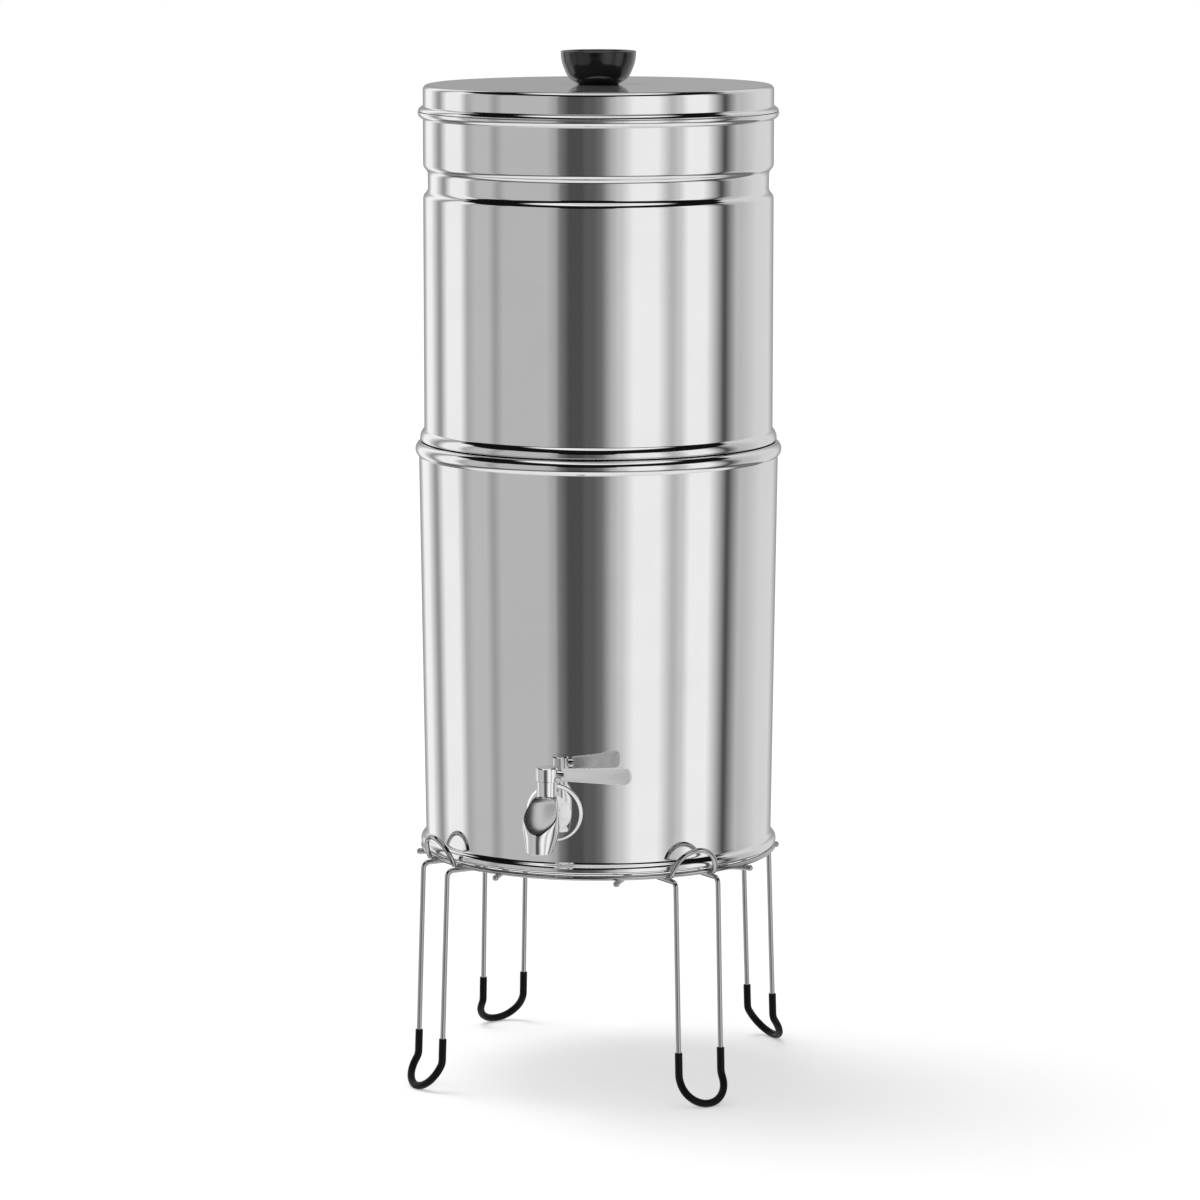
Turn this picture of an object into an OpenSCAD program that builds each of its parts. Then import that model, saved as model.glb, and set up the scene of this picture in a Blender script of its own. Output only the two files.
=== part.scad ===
// Gravity water filter: two stacked steel chambers, a lid, a lever tap and a wire stand.
// Millimetres. +Z is up, Z = 0 is the floor, the Z axis is the chambers' axis, the tap faces -Y.

/* [Chambers] */
// Outside radius of the upper wall, the lid skirt and the foot of the lower wall
wall_r = 103.8; // [95:0.1:112]
// Thickness of the steel sheet
sheet_t = 1.0; // [0.8:0.1:1.2]
// Gap between pieces that lift apart
fit_gap = 0.3; // [0.2:0.05:0.4]
// Gap left at welded, pressed and screwed seams
seam_gap = 0.05; // [0.02:0.01:0.08]

/* [Lower chamber] */
// Height from the foot to the top of the rim
lower_h = 243.3; // [200:0.1:290]
// How much the wall widens from foot to rim
lower_taper = 3.25; // [2:0.05:4.5]
// Height of the flared foot
foot_h = 7.8; // [7:0.1:10]
// How far the foot stands out from the wall
foot_out = 3.1; // [2.4:0.1:4]
// Radius of the foot's turned-in edge
foot_round = 2.0; // [1.7:0.1:2.4]
// Height of the upright part between the foot's edge and its flare
foot_edge_h = 0.5; // [0.2:0.1:0.9]
// How far the foot's edge turns in under it
foot_turn = 2.4; // [1.8:0.1:3.4]
// Height of the inside floor above the foot
lower_floor_h = 5.5; // [4:0.1:8]
// Height of the edge that joins the floor to the wall
floor_edge_h = 10.0; // [8:0.5:14]
// Radius of the rolled rim
rim_rad = 4.9; // [4.2:0.1:5.6]
// How far the rolled rim stands out from the wall
rim_out = 2.15; // [1.6:0.05:2.8]
// How far round the rim is rolled, in degrees above level
rim_wrap = 65; // [55:1:75]
// Radius of the hemmed edge on the rim
hem_rad = 0.7; // [0.6:0.05:0.9]

/* [Upper chamber] */
// Height from the seat on the lower rim to the top of the rim bead
upper_h = 195.15; // [165:0.05:240]
// How far the shoulder stands inside the top of the lower wall
shoulder_inset = 0.75; // [0.5:0.05:1]
// Height of the shoulder above its seat
shoulder_h = 7.0; // [6:0.1:9]
// Side play of the neck inside the lower rim
neck_gap = 2.2; // [1.2:0.1:3]
// Depth of the neck below the seat
neck_h = 21.0; // [17:0.5:28]
// How much the neck narrows towards its bottom
neck_taper = 0.6; // [0.3:0.1:1]
// Height of the upper floor above the neck's bottom edge
upper_floor_lift = 1.0; // [0.5:0.1:3]
// Height of the edge that joins the upper floor to the neck
upper_edge_h = 7.0; // [5:0.5:12]
// Depth of the groove round the wall
groove_depth = 2.8; // [2:0.1:3.4]
// Height of the groove's floor
groove_floor_h = 7.7; // [5:0.1:12]
// Height of each sloping side of the groove
groove_side_h = 6.5; // [5:0.1:9]
// Distance from the top of the rim down to the middle of the groove
groove_drop = 41.0; // [34:0.05:60]
// Radius of the hollow between the shoulder and the wall
shoulder_fillet = 1.0; // [0.4:0.1:1.6]
// Height of the rim bead
bead_h = 4.25; // [3.6:0.05:5]
// How far the rim bead and the lid's edge stand out from the wall
bead_out = 3.05; // [2.4:0.05:3.4]
// Rounding of the two edges where the lid meets the rim bead
split_round = 0.35; // [0.2:0.05:0.5]

/* [Lid] */
// Height of the lid from its edge to its top
lid_h = 15.45; // [12:0.05:20]
// Rounding of the lid's top edge
lid_corner = 3.0; // [2:0.1:4]
// Height of the lid's thickened edge
lid_edge_h = 2.9; // [2.2:0.1:3.6]
// Depth of the locating collar below the lid's edge
collar_drop = 11.7; // [8:0.1:16]
// Thickness of the collar
collar_t = 0.8; // [0.6:0.1:1]
// Radius of the dimple round the air vent
vent_dimple_r = 5.5; // [4:0.1:7]
// Radius of the air vent
vent_r = 1.3; // [0.8:0.1:2]
// Distance of the air vent from the middle of the lid
vent_offset = 20.7; // [18.5:0.1:50]
// Direction of the air vent, in degrees from +X
vent_angle = 14.2; // [0:0.1:90]

/* [Knob] */
// Height of the knob
knob_h = 19.6; // [15:0.1:24]
// Radius of the knob's rim
knob_r = 22.25; // [18:0.05:26]
// Radius of the knob's foot
knob_foot_r = 11.7; // [9:0.1:14]
// Depth of the dish in the knob's top
knob_dish = 1.2; // [0.6:0.1:2]
// Width of the rim round the dish
knob_rim_w = 1.3; // [0.8:0.1:2]
// Shank radius of the knob's screw
screw_r = 2.5; // [2:0.1:3]
// How far the screw reaches into the knob
screw_l = 11.0; // [8:0.5:12]

/* [Stand] */
// Height of the stand's ring top above the floor
stand_h = 137.5; // [110:0.5:170]
// Diameter of the stand's wire
wire_d = 3.0; // [2.6:0.1:3.4]
// How far the ring's centreline lies inside the foot's outside
ring_inset = 1.4; // [1:0.1:2]
// Distance of each cross wire from the middle
grid_x = 36.5; // [28:0.5:42]
// How far the cross wires reach past the ring's centreline
wire_overhang = 4.3; // [2.5:0.1:5]
// Distance between the two wires of a leg
leg_gap = 29.0; // [24:0.5:34]
// Distance of the leg's top bend outside the ring's centreline
leg_out = 8.0; // [6.5:0.1:11]
// How far the legs' inner ends reach inside the ring
leg_in = 14.5; // [8:0.5:20]
// Distance of the foot's bend outside the leg's top bend
foot_reach = 13.9; // [10:0.1:20]
// Slope of the foot's bend away from upright
kick_angle = 33.6; // [25:0.1:40]
// Centreline radius of the leg's top bend
leg_bend_r = 3.6; // [3:0.1:5]
// Centreline radius of the leg's bend above its foot
kick_bend_r = 8.0; // [6:0.5:10]
// Length left straight between the bends of the foot
foot_straight = 0.8; // [0.4:0.1:1.2]
// Outside diameter of the rubber foot sleeve
sleeve_d = 4.5; // [4.1:0.1:5.2]
// Height that the rubber foot sleeve reaches to
sleeve_h = 32.0; // [24:0.5:50]
// Depth of the flat on the bottom of each foot sleeve
foot_flat = 0.2; // [0.1:0.05:0.3]
// Height of the holding arches above the ring
arch_h = 14.9; // [13:0.1:20]
// How far the arches lean out
arch_lean = 6.4; // [4:0.1:9]

/* [Tap] */
// Height of the tap's shank above the foot
tap_rise = 36.6; // [32:0.1:60]
// Distance from the wall to the tap's stem
tap_reach = 18.2; // [16:0.1:24]
// Distance from the stem to the middle of the spout
spout_reach = 17.5; // [15:0.1:20]
// Diameter of the tap's shank
shank_d = 16.0; // [14:0.5:18]
// How far the shank reaches inside the wall
shank_in = 15.0; // [13:0.5:20]
// Wall of the washers inside the chamber
washer_wall = 4.0; // [3:0.5:6]
// Thickness of the steel washer inside the chamber
steel_washer_t = 1.2; // [0.8:0.1:2]
// Thickness of the lock nut
lock_nut_t = 6.0; // [4:0.5:7]
// Wall of the lock nut at its flats
lock_nut_wall = 4.0; // [3:0.5:6]
// Play of the shank in the wall's hole
shank_play = 0.3; // [0.1:0.05:0.5]
// Radius of the wall flange
flange_r = 16.8; // [15:0.1:20]
// Thickness of the wall flange
flange_t = 2.0; // [1.5:0.1:2.5]
// Thickness of the silicone washers at the middle of the wall
washer_t = 0.9; // [0.7:0.1:1.5]
// Radius of the bell where the shank meets the flange
bell_r = 10.7; // [9.5:0.1:12]
// Diameter of the neck round the stem
neck_d = 11.8; // [11:0.1:13]
// Height of the neck's top above the shank
neck_top = 21.75; // [20:0.05:26]
// Length of the neck above the casting
neck_l = 8.6; // [7:0.1:10]
// Widest diameter of the spout
spout_d = 19.5; // [18:0.1:22]
// Depth of the spout's widest part below the shank
spout_drop = 3.6; // [2.5:0.1:5]
// How far the spout's widest part lies behind the outlet's middle
spout_back = 3.0; // [1.5:0.1:4]
// Diameter of the spout's outlet
outlet_d = 16.0; // [14:0.1:17]
// Depth of the outlet below the shank
outlet_drop = 17.2; // [15:0.1:20]
// Radius of the outlet's bore
outlet_bore_r = 6.0; // [5:0.1:6.4]
// Depth of the outlet's bore
outlet_bore_l = 9.0; // [7:0.1:10]
// Radius of the waterway through the tap
water_r = 3.0; // [2.4:0.1:3.2]
// Radius of the turning stem
stem_r = 4.0; // [3.8:0.1:4.3]
// Running clearance round the stem
stem_play = 0.05; // [0.02:0.01:0.08]
// Depth of the upper seal ring below the neck's top
seal_drop = 3.2; // [2.4:0.1:4]
// Distance between the two seal rings
seal_pitch = 5.2; // [4:0.1:6]

/* [Tap lever] */
// Diameter of the hub on the stem
hub_d = 13.3; // [12.4:0.1:15]
// Height of the hub
hub_h = 8.2; // [7:0.1:10]
// Distance from the stem to the lever's tip
lever_l = 50.6; // [40:0.1:65]
// Thickness of the lever's paddle
paddle_t = 2.7; // [2:0.1:3.4]
// Height of the paddle at its root
paddle_h0 = 7.4; // [6:0.1:8]
// Height of the paddle at its tip
paddle_h1 = 10.3; // [9:0.1:12]
// How far the paddle's middle rises from root to tip
paddle_rise = 0.7; // [0:0.1:1.5]
// Radius of the lever's round neck
lever_neck_r = 2.55; // [2.2:0.05:3]
// Length of the lever's round neck
lever_neck_l = 2.8; // [2:0.1:5]

/* [Filter candles] */
// Distance of each candle from the middle of the chamber
candle_x = 46.0; // [40:0.5:56]
// Outside radius of the ceramic candle
candle_r = 25.0; // [20:0.5:30]
// Height of the ceramic candle
candle_h = 140.0; // [110:1:150]
// Wall of the ceramic candle
candle_wall = 7.0; // [5:0.5:9]
// Depth of the cup that holds the candle
cup_h = 14.0; // [10:0.5:20]
// Wall of the cup
cup_wall = 2.0; // [1.5:0.1:3]
// Floor of the cup
cup_floor = 3.0; // [2:0.1:4]
// Diameter of the threaded stem
candle_stem_d = 12.0; // [10:0.5:14]
// Bore of the threaded stem
candle_bore_d = 5.0; // [3:0.5:6]
// Length of the stem below the cup
candle_stem_l = 34.0; // [28:1:45]
// Thickness of the sealing washer
candle_seal_t = 3.0; // [2:0.5:4]
// Radius of the sealing washer
candle_seal_r = 13.0; // [11:0.5:16]
// Height of the wing nut
nut_h = 9.0; // [7:0.5:12]
// Span of the wing nut's wings
nut_span = 34.0; // [28:0.5:40]

/* [Hidden] */
SIDES = ["front_right", "back_right", "back_left", "front_left"];
$fn = 96;

STEEL = "lightsteelblue";
WIRE = "silver";
RUBBER = "dimgray";
SILICONE = "mintcream";
CERAMIC = "oldlace";
PLASTIC = "whitesmoke";

// Levels, from the floor up
foot_z = stand_h + fit_gap;
tap_z = foot_z + tap_rise;
lower_top = foot_z + lower_h;
seat_z = lower_top + fit_gap;
neck_z = seat_z - neck_h;
upper_floor_z = neck_z + upper_floor_lift;
upper_top = seat_z + upper_h;
groove_z = upper_top - groove_drop;
lid_z = upper_top + fit_gap;
lid_top = lid_z + lid_h;

// Lower chamber
foot_r = wall_r + foot_out;
lower_top_r = wall_r + lower_taper;
rim_mid = rim_rad - sheet_t / 2;
rim_c = [lower_top_r + rim_out - rim_rad, lower_top - hem_rad - rim_mid * sin(rim_wrap)];
rim_start = -acos((lower_top_r - rim_c.x) / rim_rad);
hem_c = rim_c + rim_mid * [cos(rim_wrap), sin(rim_wrap)];
wall_foot_z = foot_z + foot_h;
wall_top_z = rim_c.y + rim_rad * sin(rim_start);

// Upper chamber
shoulder_r = lower_top_r - shoulder_inset;
neck_r = hem_c.x - hem_rad - neck_gap;
upper_floor_r = neck_r - neck_taper - sheet_t - seam_gap;
// The lid's edge and the rim bead share one arc, split by the gap between them
bulge_half = (lid_edge_h + fit_gap + bead_h) / 2;
bulge_rad = (bead_out * bead_out + bulge_half * bulge_half) / (2 * bead_out);
bulge_c = [wall_r + bead_out - bulge_rad, lid_z + lid_edge_h - bulge_half];

// Lid
collar_r = wall_r - sheet_t - fit_gap;
collar_top_r = wall_r - sheet_t - seam_gap;
screw_head_r = screw_r * 1.9;
screw_head_h = screw_r * 1.1;
screw_washer_t = 0.8;
screw_washer_r = screw_head_r + 1.5;

// Stand
ring_r = foot_r - ring_inset;
ring_z = stand_h - wire_d / 2;
grid_z = ring_z - wire_d - seam_gap;
leg_half = leg_gap / 2;
ring_at_leg = sqrt(ring_r * ring_r - leg_half * leg_half);
leg_r = ring_at_leg + leg_out;
foot_bend = [leg_r + foot_reach, sleeve_d / 2 - foot_flat];
turn_seam = 0.02;
half_turn_r = leg_half - turn_seam;
kick_l = leg_half + kick_bend_r * tan(kick_angle / 2) + foot_straight;
kick = foot_bend - kick_l * [sin(kick_angle), -cos(kick_angle)];
arch_start_r = sqrt(pow(ring_r + wire_d + seam_gap, 2) - leg_half * leg_half);
arch_top_z = stand_h + arch_h - wire_d / 2;
arch_slope = atan(arch_lean / (arch_top_z - grid_z - wire_d / 2));
arch_start_z = grid_z + wire_d / 2 + seam_gap + wire_d / 2 * sin(arch_slope);
leg_turn = [-45, 45, 135, -135];

// Tap
tap_wall_r = lower_r(tap_z);
flange_back = -tap_wall_r - washer_t;
flange_front = flange_back - flange_t;
stem_y = -tap_wall_r - tap_reach;
spout_y = stem_y - spout_reach;
inner_face = -tap_wall_r + sheet_t + washer_t;
lock_nut_af = shank_d + 2 * lock_nut_wall;
neck_z_top = tap_z + neck_top;
spout_z = tap_z - spout_drop;
stem_bottom = tap_z - water_r - 2.6;
hub_z = neck_z_top + stem_play;
spigot_r = 3;
spigot_top = hub_z + hub_h - 1.6;
lever_z = hub_z + hub_h / 2;
lever_spigot_r = 2;
lever_root = hub_d / 2 + seam_gap + lever_neck_l;
seal_rad = 0.55;
seal_z = [neck_z_top - seal_drop, neck_z_top - seal_drop - seal_pitch];

// Candles
cup_z = upper_floor_z + sheet_t + candle_seal_t + 2 * seam_gap;
cup_r = candle_r + seam_gap + cup_wall;
candle_z = cup_z + cup_floor + seam_gap;
stem_hole_r = candle_stem_d / 2 + 0.4;
nut_top = upper_floor_z - seam_gap;
nut_hub_r = candle_stem_d / 2 + 3;
wing_t = 3;

// Outside radius of the lower wall at height z
function lower_r(z) = wall_r + lower_taper * (z - wall_foot_z) / (wall_top_z - wall_foot_z);

function unit(v) = v / norm(v);

function reversed(p) = [for (i = [len(p) - 1 : -1 : 0]) p[i]];

// All points but the first
function tail(p) = [for (i = [1 : len(p) - 1]) p[i]];

// Points on an arc about c from angle a0 to a1
function arc(c, r, a0, a1, n = 8) = [
    for (i = [0 : n])
        let (a = a0 + (a1 - a0) * i / n) c + r * [cos(a), sin(a)]
];

// Points on two equal tangent arcs from a to b that leave and arrive upright
function s_curve(a, b, n = 6) =
    let (
        d = b.x - a.x,
        h = b.y - a.y,
        rho = (d * d + h * h) / (4 * abs(d)),
        turn = 2 * atan(abs(d / h)),
        step = [for (i = [0 : n]) rho * [sign(d) * (1 - cos(turn * i / n)), sign(h) * sin(turn * i / n)]]
    )
    concat([for (s = step) a + s], [for (i = [n - 1 : -1 : 0]) b - step[i]]);

// The path moved t to its left
function beside(p, t) = [
    for (i = [0 : len(p) - 1])
        let (u = unit(p[min(i + 1, len(p) - 1)] - p[max(i - 1, 0)])) p[i] + t * [-u.y, u.x]
];

// Outline of a sheet of thickness t whose outer face follows the path
function sheet(p, t) = concat(p, reversed(beside(p, t)));

// Outer face of the lower wall, from the turned-in foot edge up to the rolled rim
function lower_path() = concat(
    [[foot_r - foot_round - foot_turn, foot_z]],
    arc([foot_r - foot_round, foot_z + foot_round], foot_round, -90, 0, 6),
    s_curve([foot_r, foot_z + foot_round + foot_edge_h], [wall_r, wall_foot_z]),
    arc(rim_c, rim_rad, rim_start, rim_wrap, 12)
);

// Outer face of the upper wall, from the neck's bottom up to the foot of the rim bead
function upper_path() =
    let (
        seat_fillet = 1.3,
        seat_corner = sheet_t + 0.6,
        shoulder_z = seat_z + seat_corner,
        shoulder_d = shoulder_r - wall_r,
        rise = shoulder_h - seat_corner,
        shoulder_rad = (shoulder_d * shoulder_d + rise * rise) / (2 * shoulder_d),
        across = wall_r + shoulder_fillet - (shoulder_r - shoulder_rad),
        swing = acos(across / (shoulder_rad + shoulder_fillet)),
        fillet_z = shoulder_z + (shoulder_rad + shoulder_fillet) * sin(swing)
    )
    concat(
        [[neck_r - neck_taper, neck_z]],
        arc([neck_r + seat_fillet, seat_z - seat_fillet], seat_fillet, 180, 90, 5),
        arc([shoulder_r - seat_corner, shoulder_z], seat_corner, -90, 0, 5),
        tail(arc([shoulder_r - shoulder_rad, shoulder_z], shoulder_rad, 0, swing, 8)),
        tail(arc([wall_r + shoulder_fillet, fillet_z], shoulder_fillet, 180 + swing, 180, 5)),
        s_curve([wall_r, groove_z - groove_floor_h / 2 - groove_side_h],
            [wall_r - groove_depth, groove_z - groove_floor_h / 2]),
        s_curve([wall_r - groove_depth, groove_z + groove_floor_h / 2],
            [wall_r, groove_z + groove_floor_h / 2 + groove_side_h]),
        [[wall_r, upper_top - bead_h]]
    );

// Radius of the shared arc's face at height z
function bulge_r(z) = bulge_c.x + sqrt(bulge_rad * bulge_rad - pow(z - bulge_c.y, 2));

// Points on the shared arc from height z0 to z1, sunk by the depth t
function bulge_arc(z0, z1, t = 0) =
    let (r = bulge_rad - t)
    arc(bulge_c, r, asin((z0 - bulge_c.y) / r), asin((z1 - bulge_c.y) / r), 8);

// Outer face of the rim bead, from the wall up to its rounded top edge
function bead_edge() =
    let (z = upper_top - split_round)
    concat(
        tail(bulge_arc(upper_top - bead_h, z)),
        tail(arc([bulge_r(z) - split_round, z], split_round, 0, 90, 3))
    );

// Hollow inside the rolled bead
function bead_hollow() =
    let (half = sqrt(pow(bulge_rad - sheet_t, 2) - pow(wall_r - bulge_c.x, 2)))
    concat([[wall_r, upper_top - sheet_t]], bulge_arc(bulge_c.y - half, upper_top - sheet_t, sheet_t));

// Outer face of the lid's edge, from its rounded lower edge up to the skirt
function lid_edge() =
    let (z = lid_z + split_round)
    concat(
        arc([bulge_r(z) - split_round, z], split_round, -90, 0, 3),
        tail(bulge_arc(z, lid_z + lid_edge_h))
    );

// Outer face of the lid's skirt and top
function lid_path() = concat(
    [[wall_r, lid_z]],
    arc([wall_r - lid_corner, lid_top - lid_corner], lid_corner, 0, 90, 6),
    [[0, lid_top]]
);

// A shallow pan with its edge turned up: outside radius r, underside at z, edge height h
function pan_path(r, z, h, corner) = concat(
    [[0, z]],
    arc([r - corner, z + corner], corner, -90, 0, 6),
    [[r, z + h]]
);

module spin(outline) {
    rotate_extrude($fn = 180) polygon(outline);
}

// Turns a shape drawn up the Z axis so that it runs along -Y from y, at the tap's height
module along_tap(y) {
    translate([0, y, tap_z]) rotate([90, 0, 0]) children();
}

// Straight round bar from a to b
module bar(a, b, d) {
    l = norm(b - a);
    translate(a) rotate([0, acos((b.z - a.z) / l), atan2(b.y - a.y, b.x - a.x)])
        cylinder(h = l, d = d, $fn = 48);
}

// Round bar along the points, bent at each inner point to the centreline radius in bends.
// A ball a hair wider than the bar bridges each place where a straight meets a bend.
module bent_bar(points, bends, d) {
    n = len(points);
    short = 0.03 * d;
    into = [for (i = [0 : n - 2]) unit(points[i + 1] - points[i])];
    turn = [for (i = [1 : n - 2]) acos(into[i - 1] * into[i])];
    cut = [for (i = [0 : n - 3]) bends[i] * tan(turn[i] / 2)];
    for (i = [0 : n - 2]) {
        from = i == 0 ? points[0] : points[i] + into[i] * (cut[i - 1] + short);
        to = i == n - 2 ? points[n - 1] : points[i + 1] - into[i] * (cut[i] + short);
        if ((to - from) * into[i] > short) bar(from, to, d);
    }
    for (i = [0 : n - 3]) {
        y = into[i];
        x = -unit(into[i + 1] - (into[i + 1] * y) * y);
        z = cross(x, y);
        c = points[i + 1] - y * cut[i] - x * bends[i];
        skip = short / bends[i] * 180 / PI;
        multmatrix([[x.x, y.x, z.x, c.x], [x.y, y.y, z.y, c.y], [x.z, y.z, z.z, c.z], [0, 0, 0, 1]])
            rotate([0, 0, skip]) rotate_extrude(angle = turn[i] - 2 * skip)
                translate([bends[i], 0]) circle(d = d, $fn = 48);
        for (p = [points[i + 1] - into[i] * cut[i], points[i + 1] + into[i + 1] * cut[i]])
            translate(p) sphere(d = d * 1.02, $fn = 48);
    }
}

// A point of a leg: r outwards, side -1 or 1, height z
function on_leg(r, side, z) = [r, side * leg_half, z];

// Centreline of a leg from height top_z down round the foot and up again
function foot_points(top_r, top_z) = [
    on_leg(top_r, -1, top_z), on_leg(kick.x, -1, kick.y), on_leg(foot_bend.x, -1, foot_bend.y),
    on_leg(foot_bend.x, 1, foot_bend.y), on_leg(kick.x, 1, kick.y), on_leg(top_r, 1, top_z)
];
foot_bends = [kick_bend_r, half_turn_r, half_turn_r, kick_bend_r];

module stand_ring() {
    color(WIRE) translate([0, 0, ring_z]) rotate_extrude($fn = 180)
        translate([ring_r, 0]) circle(d = wire_d, $fn = 48);
}

// Straight wire along X at y, welded under the ring
module cross_wire_across(y) {
    reach = sqrt(pow(ring_r + wire_overhang, 2) - grid_x * grid_x);
    color(WIRE) bar([-reach, y, grid_z], [reach, y, grid_z], wire_d);
}

// Wire along Y at x, which dips under the two straight ones
module cross_wire_along(x) {
    reach = sqrt(pow(ring_r + wire_overhang, 2) - grid_x * grid_x);
    dip = wire_d + seam_gap;
    near = grid_x + 3 * wire_d;
    far = near + 3 * wire_d;
    color(WIRE) bent_bar(
        [[x, -reach, grid_z], [x, -far, grid_z], [x, -near, grid_z - dip],
            [x, near, grid_z - dip], [x, far, grid_z], [x, reach, grid_z]],
        [for (i = [0 : 3]) 2 * wire_d], wire_d
    );
}

// Hairpin of one wire: both ends under the ring, both sides down, one bend at the foot
module stand_leg(turn) {
    top = foot_points(leg_r, grid_z);
    inner_r = ring_at_leg - leg_in;
    color(WIRE) rotate([0, 0, turn]) bent_bar(
        concat([on_leg(inner_r, -1, grid_z)], top, [on_leg(inner_r, 1, grid_z)]),
        concat([leg_bend_r], foot_bends, [leg_bend_r]), wire_d
    );
}

// Radius of the leg's centreline at height z
function leg_at(z) = leg_r + (kick.x - leg_r) * (grid_z - z) / (grid_z - kick.y);

module foot_sleeve(turn) {
    color(RUBBER) rotate([0, 0, turn]) difference() {
        bent_bar(foot_points(leg_at(sleeve_h), sleeve_h), foot_bends, sleeve_d);
        bent_bar(foot_points(leg_at(sleeve_h + 1), sleeve_h + 1), foot_bends, wire_d + 2 * seam_gap);
        translate([leg_r, -leg_gap, -sleeve_d]) cube([2 * foot_reach, 2 * leg_gap, sleeve_d]);
    }
}

// Leaning arch that keeps the chamber from sliding off the ring
module stand_arch(turn) {
    top_r = arch_start_r + arch_lean;
    color(WIRE) rotate([0, 0, turn]) bent_bar(
        [on_leg(arch_start_r, -1, arch_start_z), on_leg(top_r, -1, arch_top_z),
            on_leg(top_r, 1, arch_top_z), on_leg(arch_start_r, 1, arch_start_z)],
        [half_turn_r, half_turn_r], wire_d
    );
}

module lower_chamber_shell() {
    color(STEEL) difference() {
        rotate_extrude($fn = 180) union() {
            polygon(sheet(lower_path(), sheet_t));
            translate(hem_c) circle(hem_rad, $fn = 32);
        }
        along_tap(-tap_wall_r / 2) cylinder(h = tap_wall_r, r = shank_d / 2 + shank_play);
    }
}

module lower_chamber_floor() {
    color(STEEL) spin(sheet(
        pan_path(wall_r - sheet_t - seam_gap, foot_z + lower_floor_h, floor_edge_h, sheet_t + 2), sheet_t));
}

// Flange against the wall, with a bevelled edge
module tap_flange() {
    bevel = 0.7;
    color(STEEL) along_tap(flange_back) rotate_extrude() polygon([
        [shank_d / 2 + seam_gap, 0], [flange_r, 0], [flange_r, flange_t - bevel],
        [flange_r - bevel, flange_t], [shank_d / 2 + seam_gap, flange_t]
    ]);
}

// The lower wall as a solid cone, grown by extra
module lower_wall_cone(extra) {
    translate([0, 0, wall_foot_z])
        cylinder(h = wall_top_z - wall_foot_z, r1 = wall_r + extra, r2 = lower_top_r + extra, $fn = 720);
}

module tap_outer_washer() {
    color(SILICONE) difference() {
        along_tap(-tap_wall_r + flange_r) cylinder(h = flange_r + washer_t - seam_gap, r = flange_r - 1);
        lower_wall_cone(seam_gap);
        along_tap(0) cylinder(h = 2 * tap_wall_r, r = shank_d / 2 + seam_gap);
    }
}

module tap_inner_washer() {
    washer_r = shank_d / 2 + washer_wall;
    color(SILICONE) difference() {
        intersection() {
            along_tap(inner_face) cylinder(h = 4 * washer_t, r = washer_r);
            lower_wall_cone(-sheet_t - seam_gap);
        }
        along_tap(0) cylinder(h = 2 * tap_wall_r, r = shank_d / 2 + seam_gap);
    }
}

module tap_steel_washer() {
    color(STEEL) along_tap(inner_face + seam_gap + steel_washer_t) difference() {
        cylinder(h = steel_washer_t, r = shank_d / 2 + washer_wall);
        translate([0, 0, -1]) cylinder(h = steel_washer_t + 2, r = shank_d / 2 + seam_gap);
    }
}

module tap_lock_nut() {
    color(STEEL) along_tap(inner_face + 2 * seam_gap + steel_washer_t + lock_nut_t) difference() {
        cylinder(h = lock_nut_t, d = lock_nut_af / cos(30), $fn = 6);
        translate([0, 0, -1]) cylinder(h = lock_nut_t + 2, r = shank_d / 2 + seam_gap);
    }
}

// Bell that swells towards the flange
module tap_bell() {
    lip = 1;
    front = bell_r - 3;
    length = tap_reach - washer_t - flange_t - seam_gap - 4;
    along_tap(flange_front - seam_gap) rotate_extrude() polygon(concat(
        [[0, 0], [bell_r, 0]],
        [for (i = [0 : 8])
            let (a = 90 * i / 8) [front + (bell_r - front) * cos(a), lip + (length - lip) * sin(a)]],
        [[0, length]]
    ));
}

// Casting round the valve: one rounded skin over the neck's foot, the shank's root, the spout's
// widest part and the outlet's rim
module spout_skin() {
    rim_h = 0.1;
    tuck = 0.4;
    hull() {
        translate([0, stem_y, neck_z_top - neck_l]) cylinder(h = rim_h, d = neck_d - 2 * tuck, $fn = 32);
        along_tap(stem_y + shank_d / 2 + 1) cylinder(h = rim_h, d = shank_d + 2 * tuck, $fn = 32);
        translate([0, spout_y + spout_back, spout_z]) sphere(d = spout_d, $fn = 32);
        translate([0, spout_y, tap_z - outlet_drop]) cylinder(h = rim_h, d = outlet_d, $fn = 32);
    }
}

module tap_body() {
    outlet_z = tap_z - outlet_drop;
    color(STEEL) difference() {
        union() {
            along_tap(-tap_wall_r + shank_in) cylinder(h = shank_in + tap_reach, d = shank_d);
            tap_bell();
            translate([0, stem_y, tap_z]) cylinder(h = neck_top, d = neck_d);
            spout_skin();
        }
        translate([0, stem_y, stem_bottom - stem_play])
            cylinder(h = neck_z_top, r = stem_r + stem_play);
        along_tap(-tap_wall_r + shank_in + 1)
            cylinder(h = shank_in + tap_reach + spout_reach + 1, r = water_r);
        translate([0, spout_y, outlet_z - 1]) cylinder(h = outlet_bore_l + 1, r = outlet_bore_r);
        translate([0, spout_y, outlet_z]) cylinder(h = outlet_drop + 1, r = water_r + 1);
    }
}

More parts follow.
